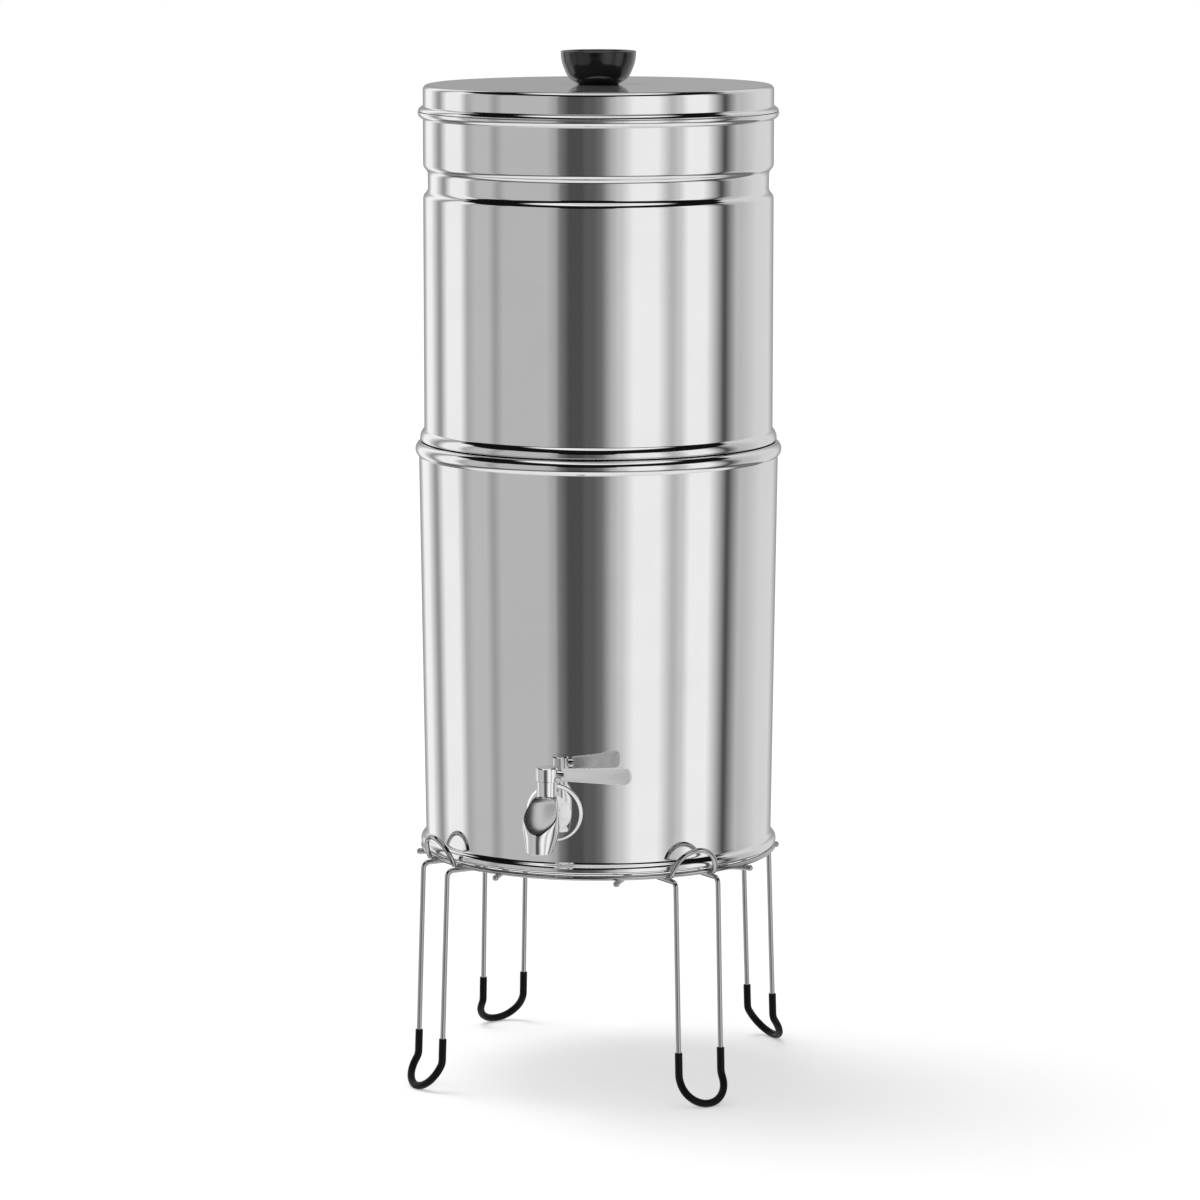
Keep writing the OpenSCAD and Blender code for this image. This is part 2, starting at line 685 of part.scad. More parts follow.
// Turning stem: a plug with a cross hole that is shut at rest, grooves for two seals, a spigot for the hub
module tap_stem() {
    color(WIRE) translate([0, stem_y, 0]) difference() {
        union() {
            translate([0, 0, stem_bottom]) cylinder(h = neck_z_top - stem_bottom, r = stem_r);
            translate([0, 0, stem_bottom]) cylinder(h = spigot_top - stem_bottom, r = spigot_r);
        }
        translate([-2 * stem_r, 0, tap_z]) rotate([0, 90, 0]) cylinder(h = 4 * stem_r, r = water_r - 0.2);
        for (z = seal_z) translate([0, 0, z]) rotate_extrude()
            translate([stem_r - 2 * seal_rad, -seal_rad - seam_gap])
                square([4 * seal_rad, 2 * (seal_rad + seam_gap)]);
    }
}

module tap_stem_seals() {
    color(RUBBER) for (z = seal_z) translate([0, stem_y, z]) rotate_extrude()
        translate([stem_r - seal_rad + stem_play / 2, 0]) circle(seal_rad, $fn = 32);
}

module tap_hub() {
    bevel = 0.9;
    color(STEEL) translate([0, stem_y, hub_z]) difference() {
        rotate_extrude() polygon([
            [0, 0], [hub_d / 2 - bevel / 3, 0], [hub_d / 2, bevel / 3], [hub_d / 2, hub_h - bevel],
            [hub_d / 2 - bevel, hub_h], [0, hub_h]
        ]);
        translate([0, 0, -1]) cylinder(h = spigot_top - hub_z + 1 + seam_gap, r = spigot_r + seam_gap);
        translate([0, 0, lever_z - hub_z]) rotate([0, 90, 0])
            cylinder(h = hub_d, r = lever_spigot_r + seam_gap);
    }
}

// Spigot, round neck and upright paddle, which points along +X when the tap is shut
module tap_lever_arm() {
    neck_start = hub_d / 2 + seam_gap;
    tip_r = paddle_h1 * 0.44;
    root_z = lever_z - paddle_h0 / 2;
    tip_z = lever_z + paddle_rise - paddle_h1 / 2;
    tip_x = lever_l - tip_r;
    color(STEEL) translate([0, stem_y, 0]) {
        translate([spigot_r + 3 * seam_gap, 0, lever_z]) rotate([0, 90, 0])
            cylinder(h = neck_start - spigot_r, r = lever_spigot_r);
        translate([neck_start, 0, lever_z]) rotate([0, 90, 0])
            cylinder(h = lever_neck_l + 0.5, r = lever_neck_r);
        translate([0, paddle_t / 2, 0]) rotate([90, 0, 0]) linear_extrude(paddle_t) polygon(concat(
            [[lever_root, root_z]],
            arc([tip_x, tip_z + tip_r], tip_r, -90, 0, 8),
            arc([tip_x, tip_z + paddle_h1 - tip_r], tip_r, 0, 90, 8),
            [[lever_root, root_z + paddle_h0]]
        ));
    }
}

module upper_chamber_shell() {
    color(STEEL) rotate_extrude($fn = 180) difference() {
        polygon(concat(upper_path(), bead_edge(), [[wall_r - sheet_t, upper_top]],
            reversed(beside(upper_path(), sheet_t))));
        polygon(bead_hollow());
    }
}

module upper_chamber_floor() {
    color(STEEL) difference() {
        spin(sheet(pan_path(upper_floor_r, upper_floor_z, upper_edge_h, sheet_t + 1.5), sheet_t));
        for (side = [-1, 1]) translate([side * candle_x, 0, upper_floor_z - 1])
            cylinder(h = sheet_t + 2, r = stem_hole_r);
    }
}

module filter_candle(side) {
    inner_r = candle_r - candle_wall;
    color(CERAMIC) translate([side * candle_x, 0, candle_z]) rotate_extrude() polygon(concat(
        [[inner_r, 0], [candle_r, 0]],
        arc([0, candle_h - candle_r], candle_r, 0, 90, 12),
        reversed(arc([0, candle_h - candle_r], inner_r, 0, 90, 10))
    ));
}

module candle_cup(side) {
    stem_r0 = candle_stem_d / 2;
    bore_r = candle_bore_d / 2;
    color(PLASTIC) translate([side * candle_x, 0, cup_z]) rotate_extrude() polygon([
        [bore_r, -candle_stem_l], [stem_r0, -candle_stem_l], [stem_r0, 0], [cup_r - 1, 0], [cup_r, 1],
        [cup_r, cup_h], [cup_r - cup_wall, cup_h], [cup_r - cup_wall, cup_floor], [bore_r, cup_floor]
    ]);
}

module candle_seal(side) {
    color(SILICONE) translate([side * candle_x, 0, upper_floor_z + sheet_t + seam_gap]) difference() {
        cylinder(h = candle_seal_t, r = candle_seal_r);
        translate([0, 0, -1]) cylinder(h = candle_seal_t + 2, r = candle_stem_d / 2 + seam_gap);
    }
}

module candle_wing_nut(side) {
    wing_h = nut_h + 3;
    color(PLASTIC) translate([side * candle_x, 0, nut_top - nut_h]) difference() {
        union() {
            cylinder(h = nut_h, r = nut_hub_r);
            translate([-nut_span / 2, -wing_t / 2, nut_h - wing_h - 1]) cube([nut_span, wing_t, wing_h - 1]);
        }
        translate([0, 0, -nut_h]) cylinder(h = 3 * nut_h, r = candle_stem_d / 2 + seam_gap);
    }
}

module lid_shell() {
    dimple = sheet_t / 2;
    dimple_rad = (vent_dimple_r * vent_dimple_r + dimple * dimple) / (2 * dimple);
    vent = vent_offset * [cos(vent_angle), sin(vent_angle)];
    color(STEEL) difference() {
        spin(concat(lid_edge(), tail(lid_path()), reversed(beside(lid_path(), sheet_t))));
        translate([0, 0, lid_top - 2 * sheet_t]) cylinder(h = 4 * sheet_t, r = screw_r + seam_gap);
        translate([vent.x, vent.y, lid_top - dimple + dimple_rad]) sphere(dimple_rad);
        translate([vent.x, vent.y, lid_top - 2 * sheet_t]) cylinder(h = 4 * sheet_t, r = vent_r);
    }
}

// Band inside the skirt that drops into the upper chamber's mouth
module lid_collar() {
    skirt_z = lid_z + 4 * sheet_t;
    color(STEEL) spin(sheet(concat(
        [[collar_r - 0.5, lid_z - collar_drop], [collar_r, lid_z - collar_drop + 2]],
        s_curve([collar_r, lid_z + 1.5 * sheet_t], [collar_top_r, skirt_z]),
        [[collar_top_r, lid_top - lid_corner - sheet_t / 2]]
    ), collar_t));
}

// Bowl-shaped knob with a shallow dish in its top and a blind hole for the screw
module lid_knob() {
    // Share of the knob's height against share of its swell from foot to rim
    swell = [
        [0, 0], [0.08, 0.28], [0.18, 0.53], [0.31, 0.68], [0.44, 0.79], [0.63, 0.92], [0.8, 0.98], [0.95, 1]
    ];
    edge = 0.3;
    dish_r = knob_r - knob_rim_w;
    color("black") translate([0, 0, lid_top + seam_gap]) difference() {
        rotate_extrude() polygon(concat(
            [[0, 0]],
            [for (s = swell) [knob_foot_r + (knob_r - knob_foot_r) * s[1], knob_h * s[0]]],
            [[knob_r - edge, knob_h], [dish_r, knob_h], [dish_r - 2 * knob_dish, knob_h - knob_dish],
                [0, knob_h - knob_dish]]
        ));
        translate([0, 0, -1]) cylinder(h = screw_l + 1.5, r = screw_r + seam_gap);
    }
}

module knob_screw() {
    head_z = lid_top - sheet_t - screw_washer_t - 2 * seam_gap - screw_head_h;
    color(WIRE) translate([0, 0, head_z]) {
        cylinder(h = screw_head_h, r = screw_head_r);
        cylinder(h = lid_top + screw_l - head_z, r = screw_r);
    }
}

module knob_screw_washer() {
    color(RUBBER) translate([0, 0, lid_top - sheet_t - screw_washer_t - seam_gap]) difference() {
        cylinder(h = screw_washer_t, r = screw_washer_r);
        translate([0, 0, -1]) cylinder(h = screw_washer_t + 2, r = screw_r + seam_gap);
    }
}

stand_ring();
cross_wire_across(-grid_x);  // cross_wire_across_front
cross_wire_across(grid_x);  // cross_wire_across_back
cross_wire_along(grid_x);  // cross_wire_along_right
cross_wire_along(-grid_x);  // cross_wire_along_left
for (i = [0 : 3]) {
    stand_leg(leg_turn[i]);
    foot_sleeve(leg_turn[i]);
    stand_arch(leg_turn[i]);
}
lower_chamber_shell();
lower_chamber_floor();
tap_body();
tap_flange();
tap_outer_washer();
tap_inner_washer();
tap_steel_washer();
tap_lock_nut();
tap_stem();
tap_stem_seals();
tap_hub();
tap_lever_arm();
upper_chamber_shell();
upper_chamber_floor();
for (s = [["left", -1], ["right", 1]]) {
    filter_candle(s[1]);
    candle_cup(s[1]);
    candle_seal(s[1]);
    candle_wing_nut(s[1]);
}
lid_shell();
lid_collar();
lid_knob();
knob_screw();
knob_screw_washer();
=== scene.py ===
"""Looks of a gravity water filter: two polished steel chambers, a lid, a lever tap and a wire stand.

Sizes are in millimetres and angles in degrees, as a maker would write them. Meshes are made in metres, in the
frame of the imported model, and every level that two pieces share is read from that frame.
"""

from __future__ import annotations

import logging
import math
from dataclasses import dataclass, field
from enum import Enum

import bmesh
import bpy
from mathutils import Matrix, Vector

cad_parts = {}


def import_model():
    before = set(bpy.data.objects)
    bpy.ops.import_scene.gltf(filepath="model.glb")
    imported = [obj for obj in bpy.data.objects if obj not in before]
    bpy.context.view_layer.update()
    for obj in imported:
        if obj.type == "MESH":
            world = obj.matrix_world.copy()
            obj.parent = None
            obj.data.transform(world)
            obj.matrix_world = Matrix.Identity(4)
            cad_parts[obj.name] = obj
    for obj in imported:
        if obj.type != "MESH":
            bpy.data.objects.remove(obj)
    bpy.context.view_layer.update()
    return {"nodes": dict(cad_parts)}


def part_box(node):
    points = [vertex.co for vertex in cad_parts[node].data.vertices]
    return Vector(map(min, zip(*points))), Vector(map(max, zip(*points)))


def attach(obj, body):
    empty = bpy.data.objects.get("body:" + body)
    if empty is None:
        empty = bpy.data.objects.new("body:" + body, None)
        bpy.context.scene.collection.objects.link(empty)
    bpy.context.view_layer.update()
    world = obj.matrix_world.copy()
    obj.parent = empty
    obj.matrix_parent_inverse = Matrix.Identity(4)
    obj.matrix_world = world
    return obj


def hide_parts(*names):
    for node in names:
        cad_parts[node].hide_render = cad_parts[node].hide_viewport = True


LOG = logging.getLogger("water_filter")
MM = 0.001
ROUND_SEGMENTS = 240
SHARP_ANGLE = 38.0
STRAIGHT_GAP = 1.0
SAME_PLACE = 1e-4
WIRE_SPACING = 6.0
WIRE_MERGE = 1e-3
TOWARDS_AXIS = -0.5
HANDLED_METAL = 0.975
HANDLED_MOULDED = 0.86
TURNED_LINES = 2600.0
DRAWN_LINES = 9000.0
LINE_DEPTH = 0.00002
GRAIN_DEPTH = 0.00008
MOULDED_MARKS = 60.0
COAT_ROUGHNESS = 0.06

Piece = bpy.types.Object
Socket = bpy.types.NodeSocket
Points = list[Vector]
Place = Vector | tuple[float, ...]


# ---------------------------------------------------------------- frame readings


@dataclass(frozen=True)
class Extent:
    """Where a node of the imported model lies, in millimetres."""

    low: Vector
    high: Vector

    @staticmethod
    def of(node: str) -> "Extent":
        """Reads the box of one node."""
        low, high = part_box(node)
        return Extent(low / MM, high / MM)

    @property
    def radius(self) -> float:
        """Half the width of a round piece."""
        return (self.high.x - self.low.x) / 2

    @property
    def middle(self) -> Vector:
        """Centre of the box."""
        return (self.low + self.high) / 2


# ---------------------------------------------------------------- outlines


def polyline(*places: tuple[float, ...]) -> Points:
    """Points at the given places."""
    return [Vector(place) for place in places]


def arc(centre: Place, radius: float, start: float, end: float, steps: int = 8) -> Points:
    """Points on an arc, both ends included.

    Args:
        centre: Middle of the arc.
        radius: Radius of the arc.
        start: First angle in degrees.
        end: Last angle in degrees.
        steps: Number of chords.

    Returns:
        The points from start to end.
    """
    angles = [math.radians(start + (end - start) * i / steps) for i in range(steps + 1)]
    return [Vector(centre) + radius * Vector((math.cos(a), math.sin(a))) for a in angles]


def s_bend(start: Place, end: Place, steps: int = 8) -> Points:
    """Points on two equal arcs that leave and arrive upright.

    Args:
        start: First point.
        end: Last point.
        steps: Chords in each of the two arcs.

    Returns:
        The points, both ends included.
    """
    a, b = Vector(start), Vector(end)
    d, h = b.x - a.x, b.y - a.y
    rho = (d * d + h * h) / (4 * abs(d))
    turn = 2 * math.atan(abs(d / h))
    half = []
    for i in range(steps + 1):
        angle = turn * i / steps
        across, up = rho * (1 - math.cos(angle)), rho * math.sin(angle)
        half.append(Vector((math.copysign(across, d), math.copysign(up, h))))
    return [a + s for s in half] + [b - s for s in reversed(half[:-1])]


def straight(a: Vector, b: Vector, spacing: float = 8.0) -> Points:
    """Points between a and b, close together at both ends so that the shading stays true next to bends.

    Args:
        a: First point, not included.
        b: Last point, not included.
        spacing: Widest distance between points.

    Returns:
        The points between the two ends.
    """
    length = (b - a).length
    ends = [0.2, 0.8, 2.5]
    count = max(1, round(length / spacing))
    stops = {round(length * i / count, 4) for i in range(1, count)}
    stops |= {d for d in ends if d < length / 2} | {length - d for d in ends if d < length / 2}
    return [a.lerp(b, s / length) for s in sorted(stops)]


def joined(*runs: Points) -> Points:
    """Chains runs of points, with spaced straights across the gaps and doubled points left out."""
    path: Points = []
    for run in runs:
        if path and (run[0] - path[-1]).length > STRAIGHT_GAP:
            path += straight(path[-1], run[0])
        path += [p for i, p in enumerate(run) if i or not path or (p - path[-1]).length > SAME_PLACE]
    return path


def beside(path: Points, distance: float) -> Points:
    """The path moved a distance to its left."""
    moved = []
    for i, p in enumerate(path):
        along = (path[min(i + 1, len(path) - 1)] - path[max(i - 1, 0)]).normalized()
        moved.append(p + distance * Vector((-along.y, along.x)))
    return moved


def round_edge(a: Vector, b: Vector, steps: int = 6) -> Points:
    """Half a turn from a to b on the right of the way, without the two ends."""
    centre, arm = (a + b) / 2, (a - b) / 2
    points = []
    for i in range(1, steps):
        angle = math.pi * i / steps
        points.append(centre + arm * math.cos(angle) + Vector((-arm.y, arm.x)) * math.sin(angle))
    return points


# ---------------------------------------------------------------- meshes


def skin(name: str, sections: list[Points], wrap: bool = False, place: Matrix | None = None) -> Piece:
    """Stretches a surface over closed sections with equally many points.

    Args:
        name: Name of the piece.
        sections: Loops of points in millimetres.
        wrap: True if the last section joins the first. Otherwise both ends are closed with caps.
        place: Turns and moves the piece, in millimetres.

    Returns:
        The new object, in metres.
    """
    sides, count = len(sections[0]), len(sections)
    points = [p for section in sections for p in section]
    faces = []
    for i in range(count if wrap else count - 1):
        a, b = i * sides, (i + 1) % count * sides
        for j in range(sides):
            k = (j + 1) % sides
            faces.append((a + j, a + k, b + k, b + j))
    if not wrap:
        for base in (0, (count - 1) * sides):
            loop = points[base : base + sides]
            points.append(sum(loop, Vector((0, 0, 0))) / sides)
            hub = len(points) - 1
            faces += [(base + j, base + (j + 1) % sides, hub) for j in range(sides)]
    to_metres = Matrix.Scale(MM, 4) @ (place or Matrix.Identity(4))
    mesh = bpy.data.meshes.new(name)
    mesh.from_pydata([to_metres @ p for p in points], [], faces)
    return add_object(name, mesh)


def add_object(name: str, mesh: bpy.types.Mesh) -> Piece:
    """Turns every face outwards, shades the mesh smooth between sharp edges and adds it to the scene."""
    shell = bmesh.new()
    shell.from_mesh(mesh)
    bmesh.ops.recalc_face_normals(shell, faces=shell.faces)
    shell.to_mesh(mesh)
    shell.free()
    smooth(mesh)
    piece = bpy.data.objects.new(name, mesh)
    bpy.context.scene.collection.objects.link(piece)
    return piece


def smooth(mesh: bpy.types.Mesh) -> None:
    """Shades a mesh smooth, apart from its sharp edges."""
    mesh.polygons.foreach_set("use_smooth", [True] * len(mesh.polygons))
    mesh.set_sharp_from_angle(angle=math.radians(SHARP_ANGLE))


def lathe(name: str, loop: Points, segments: int = ROUND_SEGMENTS, place: Matrix | None = None) -> Piece:
    """Turns an outline about the Z axis.

    Args:
        name: Name of the piece.
        loop: Points of (radius, height). The outline closes on itself, unless both its ends are on the axis.
        segments: Number of faces round the axis.
        place: Turns and moves the piece, in millimetres.

    Returns:
        The new object.
    """
    on_axis = abs(loop[0].x) < 1e-6 and abs(loop[-1].x) < 1e-6
    run = loop[1:-1] if on_axis else loop
    turns = [(math.cos(a), math.sin(a)) for a in (2 * math.pi * i / segments for i in range(segments))]
    sections = [[Vector((p.x * c, p.x * s, p.y)) for c, s in turns] for p in run]
    return skin(name, sections, wrap=not on_axis, place=place)


def along_axis(origin: Vector, axis: Vector) -> Matrix:
    """Places a piece drawn up the Z axis so that it starts at origin and points along axis."""
    turn = Vector((0, 0, 1)).rotation_difference(axis).to_matrix().to_4x4()
    return Matrix.Translation(origin) @ turn


@dataclass(frozen=True)
class Station:
    """One place on a wire, with the two directions across it."""

    centre: Vector
    along: Vector
    across: Vector
    over: Vector

    def ring(self, radius: float, sides: int, shift: float = 0.0) -> Points:
        """Circle of points round the wire, moved along it by shift."""
        centre = self.centre + self.along * shift
        angles = [2 * math.pi * i / sides for i in range(sides)]
        return [centre + radius * (math.cos(a) * self.across + math.sin(a) * self.over) for a in angles]


def stations(path: Points) -> list[Station]:
    """Places along a path, turned as little as possible from one to the next."""
    found: list[Station] = []
    across = None
    for i, p in enumerate(path):
        along = (path[min(i + 1, len(path) - 1)] - path[max(i - 1, 0)]).normalized()
        if across is None:
            across = along.orthogonal().normalized()
        else:
            across = (across - along * across.dot(along)).normalized()
        found.append(Station(p, along, across, along.cross(across)))
    return found


def bent_path(corners: Points, bends: list[float], step: float = 7.5) -> Points:
    """Rounds the inner corners of a path.

    Args:
        corners: The path's corners.
        bends: Bend radius at each inner corner.
        step: Degrees between points on a bend.

    Returns:
        Points along the rounded path.
    """
    path = [corners[0]]
    for i, radius in enumerate(bends, start=1):
        into = (corners[i] - corners[i - 1]).normalized()
        out = (corners[i + 1] - corners[i]).normalized()
        turn = into.angle(out)
        cut = radius * math.tan(turn / 2)
        start = corners[i] - into * cut
        inward = (out - into * out.dot(into)).normalized()
        centre = start + inward * radius
        chords = max(2, math.ceil(math.degrees(turn) / step))
        for k in range(chords + 1):
            angle = turn * k / chords
            path.append(centre + radius * (math.sin(angle) * into - math.cos(angle) * inward))
    path.append(corners[-1])
    spaced = [path[0]]
    for p in path[1:]:
        gap = (p - spaced[-1]).length
        if gap < WIRE_MERGE:
            continue
        count = math.ceil(gap / WIRE_SPACING)
        spaced += [spaced[-1].lerp(p, k / count) for k in range(1, count)] + [p]
    return spaced


def wire(name: str, path: Points, radius: float, end_swell: float = 1.0, sides: int = 20) -> Piece:
    """A round wire with domed ends.

    Args:
        name: Name of the piece.
        path: Points along its middle.
        radius: Radius of the wire.
        end_swell: Radius of the domed ends, as a share of the wire's radius.
        sides: Number of faces round the wire.

    Returns:
        The new object.
    """
    places = stations(path)
    dome = [(math.cos(a), math.sin(a)) for a in (math.pi / 2 * k / 6 for k in range(6))]
    ball = radius * end_swell
    head = [places[0].ring(ball * c, sides, -ball * s + ball) for c, s in reversed(dome)]
    tail = [places[-1].ring(ball * c, sides, ball * s - ball) for c, s in dome]
    body = [place.ring(radius, sides) for place in places[1:-1]]
    return skin(name, head + body + tail)


def carve(piece: Piece, cutter: Piece, operation: str = "DIFFERENCE") -> None:
    """Applies a boolean with another closed piece, which is then deleted."""
    modifier = piece.modifiers.new("carve", "BOOLEAN")
    modifier.operation = operation
    modifier.solver = "EXACT"
    modifier.object = cutter
    bpy.context.view_layer.update()
    mesh = bpy.data.meshes.new_from_object(piece.evaluated_get(bpy.context.evaluated_depsgraph_get()))
    piece.modifiers.remove(modifier)
    piece.data = mesh
    smooth(mesh)
    bpy.data.objects.remove(cutter)


# ---------------------------------------------------------------- shader building


class Graph:
    """A node tree with short calls for adding and joining nodes."""

    def __init__(self, tree: bpy.types.NodeTree) -> None:
        """Keeps the tree."""
        self.tree = tree

    def add(self, kind: str, inputs: dict | None = None, **settings) -> bpy.types.Node:
        """Adds a node.

        Args:
            kind: Blender's name of the node type.
            inputs: Value or socket for each named or numbered input.
            **settings: Attributes of the node.

        Returns:
            The new node.
        """
        node = self.tree.nodes.new(kind)
        for key, value in settings.items():
            setattr(node, key, value)
        self.feed(node, inputs or {})
        return node

    def feed(self, node: bpy.types.Node, inputs: dict) -> None:
        """Gives named or numbered inputs of a node their value, or joins them to a socket."""
        for key, value in inputs.items():
            if isinstance(value, Socket):
                self.tree.links.new(value, node.inputs[key])
            else:
                node.inputs[key].default_value = value

    def group(self, tree: bpy.types.NodeTree, inputs: dict[str, float]) -> dict[str, Socket]:
        """Adds a node group with the given inputs and returns its outputs by name."""
        return self.add("ShaderNodeGroup", inputs, node_tree=tree).outputs

    def math(self, operation: str, *values) -> Socket:
        """Adds a math node and returns its result."""
        return self.add("ShaderNodeMath", dict(enumerate(values)), operation=operation).outputs[0]

    def smoothstep(self, value: Socket, low: float, high: float) -> Socket:
        """Eases from 0 at low to 1 at high."""
        node = self.add("ShaderNodeMapRange", {0: value, 1: low, 2: high}, interpolation_type="SMOOTHSTEP")
        return node.outputs[0]

    def ramp(self, value: Socket, stops: list[tuple[float, float]]) -> Socket:
        """Adds a grey ramp with the given (place, level) stops."""
        node = self.add("ShaderNodeValToRGB", {0: value})
        elements = node.color_ramp.elements
        elements[0].position, elements[1].position = 0.0, 1.0
        for place, _ in stops[1:-1]:
            elements.new(place)
        for element, (_, level) in zip(elements, stops):
            element.color = (level, level, level, 1.0)
        return node.outputs[0]


class Effect:
    """Shader node groups that several finishes share. Each is built once."""

    @staticmethod
    def _start(
        name: str, inputs: dict[str, float], outputs: list[str]
    ) -> tuple[Graph, dict, bpy.types.Node, bool]:
        """Makes the group's frame, or finds the group if it was made before."""
        tree = bpy.data.node_groups.get(name)
        if tree is not None:
            return Graph(tree), {}, None, True
        tree = bpy.data.node_groups.new(name, "ShaderNodeTree")
        for key, value in inputs.items():
            socket = tree.interface.new_socket(key, in_out="INPUT", socket_type="NodeSocketFloat")
            socket.default_value = value
        for key in outputs:
            tree.interface.new_socket(key, in_out="OUTPUT", socket_type="NodeSocketFloat")
        graph = Graph(tree)
        given = graph.add("NodeGroupInput").outputs
        return graph, {key: given[key] for key in inputs}, graph.add("NodeGroupOutput"), False

    @classmethod
    def handling(cls) -> bpy.types.NodeTree:
        """Faint cloudy marks of handling: Roughness around the given Base, and a Mask."""
        graph, given, result, made = cls._start(
            "handling_marks", {"Base": 0.1, "Spread": 0.02, "Scale": 14.0}, ["Roughness", "Mask"]
        )
        if made:
            return graph.tree
        place = graph.add("ShaderNodeTexCoord").outputs["Object"]
        cloud = graph.add("ShaderNodeTexNoise", {
            "Vector": place, "Scale": given["Scale"], "Detail": 5.0, "Roughness": 0.62, "Distortion": 0.6})
        mask = graph.smoothstep(cloud.outputs[0], low=0.42, high=0.66)
        rough = graph.math("MULTIPLY_ADD", mask, given["Spread"], given["Base"])
        graph.feed(result, {"Roughness": rough, "Mask": mask})
        return graph.tree

    @classmethod
    def turning_lines(cls) -> bpy.types.NodeTree:
        """Fine polishing lines that run round the Z axis: a Height and a Mask."""
        graph, given, result, made = cls._start(
            "turning_lines", {"Fineness": TURNED_LINES}, ["Height", "Mask"]
        )
        if made:
            return graph.tree
        place = graph.add("ShaderNodeTexCoord").outputs["Object"]
        split = graph.add("ShaderNodeSeparateXYZ", {0: place}).outputs
        level = graph.add("ShaderNodeCombineXYZ", {0: split[0], 1: split[1]}).outputs[0]
        far = graph.add("ShaderNodeVectorMath", {0: level}, operation="LENGTH").outputs["Value"]
        turn = graph.math("ARCTAN2", split[1], split[0])
        row = graph.math("MULTIPLY", graph.math("ADD", split[2], far), given["Fineness"])
        spot = graph.add("ShaderNodeCombineXYZ", {0: graph.math("MULTIPLY", turn, 1.6), 1: row}).outputs[0]
        noise = graph.add("ShaderNodeTexNoise", {
            "Vector": spot, "Scale": 1.0, "Detail": 3.0, "Roughness": 0.7}).outputs[0]
        mask = graph.smoothstep(noise, low=0.35, high=0.7)
        graph.feed(result, {"Height": noise, "Mask": mask})
        return graph.tree

    @classmethod
    def grain(cls) -> bpy.types.NodeTree:
        """Fine moulded or fired grain: a Height and sparse Pits."""
        graph, given, result, made = cls._start(
            "fine_grain", {"Scale": 900.0, "Pit Scale": 260.0}, ["Height", "Pits"]
        )
        if made:
            return graph.tree
        place = graph.add("ShaderNodeTexCoord").outputs["Object"]
        noise = graph.add("ShaderNodeTexNoise", {
            "Vector": place, "Scale": given["Scale"], "Detail": 4.0, "Roughness": 0.65})
        cell = graph.add("ShaderNodeTexVoronoi", {"Vector": place, "Scale": given["Pit Scale"]})
        pits = graph.math("SUBTRACT", 1.0, graph.smoothstep(cell.outputs["Distance"], low=0.04, high=0.22))
        graph.feed(result, {"Height": noise.outputs[0], "Pits": pits})
        return graph.tree


class Lay(Enum):
    """How a metal surface was finished."""

    MIRROR = "mirror"
    TURNED = "turned"
    DRAWN = "drawn"


@dataclass(frozen=True)
class Metal:
    """Bare or plated metal."""

    name: str
    colour: float
    roughness: float
    spread: float
    lay: Lay
    relief: float = 0.0
    metallic: float = 1.0
    slot: str = ""

    def build(self) -> bpy.types.Material:
        """Builds the material."""
        material, graph, shader = new_material(self.name)
        marks = graph.group(Effect.handling(), {"Base": self.roughness, "Spread": self.spread})
        rough = marks["Roughness"]
        tone = blend(graph, marks["Mask"], grey(self.colour), grey(self.colour * HANDLED_METAL))
        if self.lay is not Lay.MIRROR:
            fineness = TURNED_LINES if self.lay is Lay.TURNED else DRAWN_LINES
            lines = graph.group(Effect.turning_lines(), {"Fineness": fineness})
            rough = graph.math("MULTIPLY_ADD", lines["Mask"], self.spread, rough)
            graph.feed(shader, {"Normal": relief(graph, self.relief, LINE_DEPTH, lines["Height"])})
        graph.feed(shader, {"Metallic": self.metallic, "Base Color": tone, "Roughness": rough})
        return material


@dataclass(frozen=True)
class Moulded:
    """Plastic, rubber, silicone or fired ceramic."""

    name: str
    colour: tuple[float, float, float]
    roughness: float
    spread: float
    grain_scale: float
    relief: float
    pits: float = 0.0
    coat: float = 0.0
    clear: float = 0.0
    shine: float = 0.5
    slot: str = ""

    def build(self) -> bpy.types.Material:
        """Builds the material."""
        material, graph, shader = new_material(self.name)
        handling = {"Base": self.roughness, "Spread": self.spread, "Scale": MOULDED_MARKS}
        marks = graph.group(Effect.handling(), handling)
        grain = graph.group(Effect.grain(), {"Scale": self.grain_scale})
        dark = tuple(c * HANDLED_MOULDED for c in self.colour)
        height = graph.math("MULTIPLY_ADD", grain["Pits"], -self.pits, grain["Height"])
        graph.feed(shader, {
            "Base Color": blend(graph, marks["Mask"], (*self.colour, 1.0), (*dark, 1.0)),
            "Roughness": marks["Roughness"],
            "Normal": relief(graph, self.relief, GRAIN_DEPTH, height),
            "Coat Weight": self.coat,
            "Coat Roughness": COAT_ROUGHNESS,
            "Transmission Weight": self.clear,
            "Specular IOR Level": self.shine,
        })
        return material


def grey(level: float) -> tuple[float, float, float, float]:
    """A neutral colour."""
    return (level, level, level, 1.0)


def blend(graph: Graph, mask: Socket, clean: tuple[float, ...], handled: tuple[float, ...]) -> Socket:
    """Adds a colour that goes from clean to handled with the mask."""
    return graph.add("ShaderNodeMix", {0: mask, 6: clean, 7: handled}, data_type="RGBA").outputs[2]


def relief(graph: Graph, strength: float, depth: float, height: Socket) -> Socket:
    """Adds a bump of a strength and a depth in metres and returns its normal."""
    return graph.add("ShaderNodeBump", {"Strength": strength, "Distance": depth, "Height": height}).outputs[0]


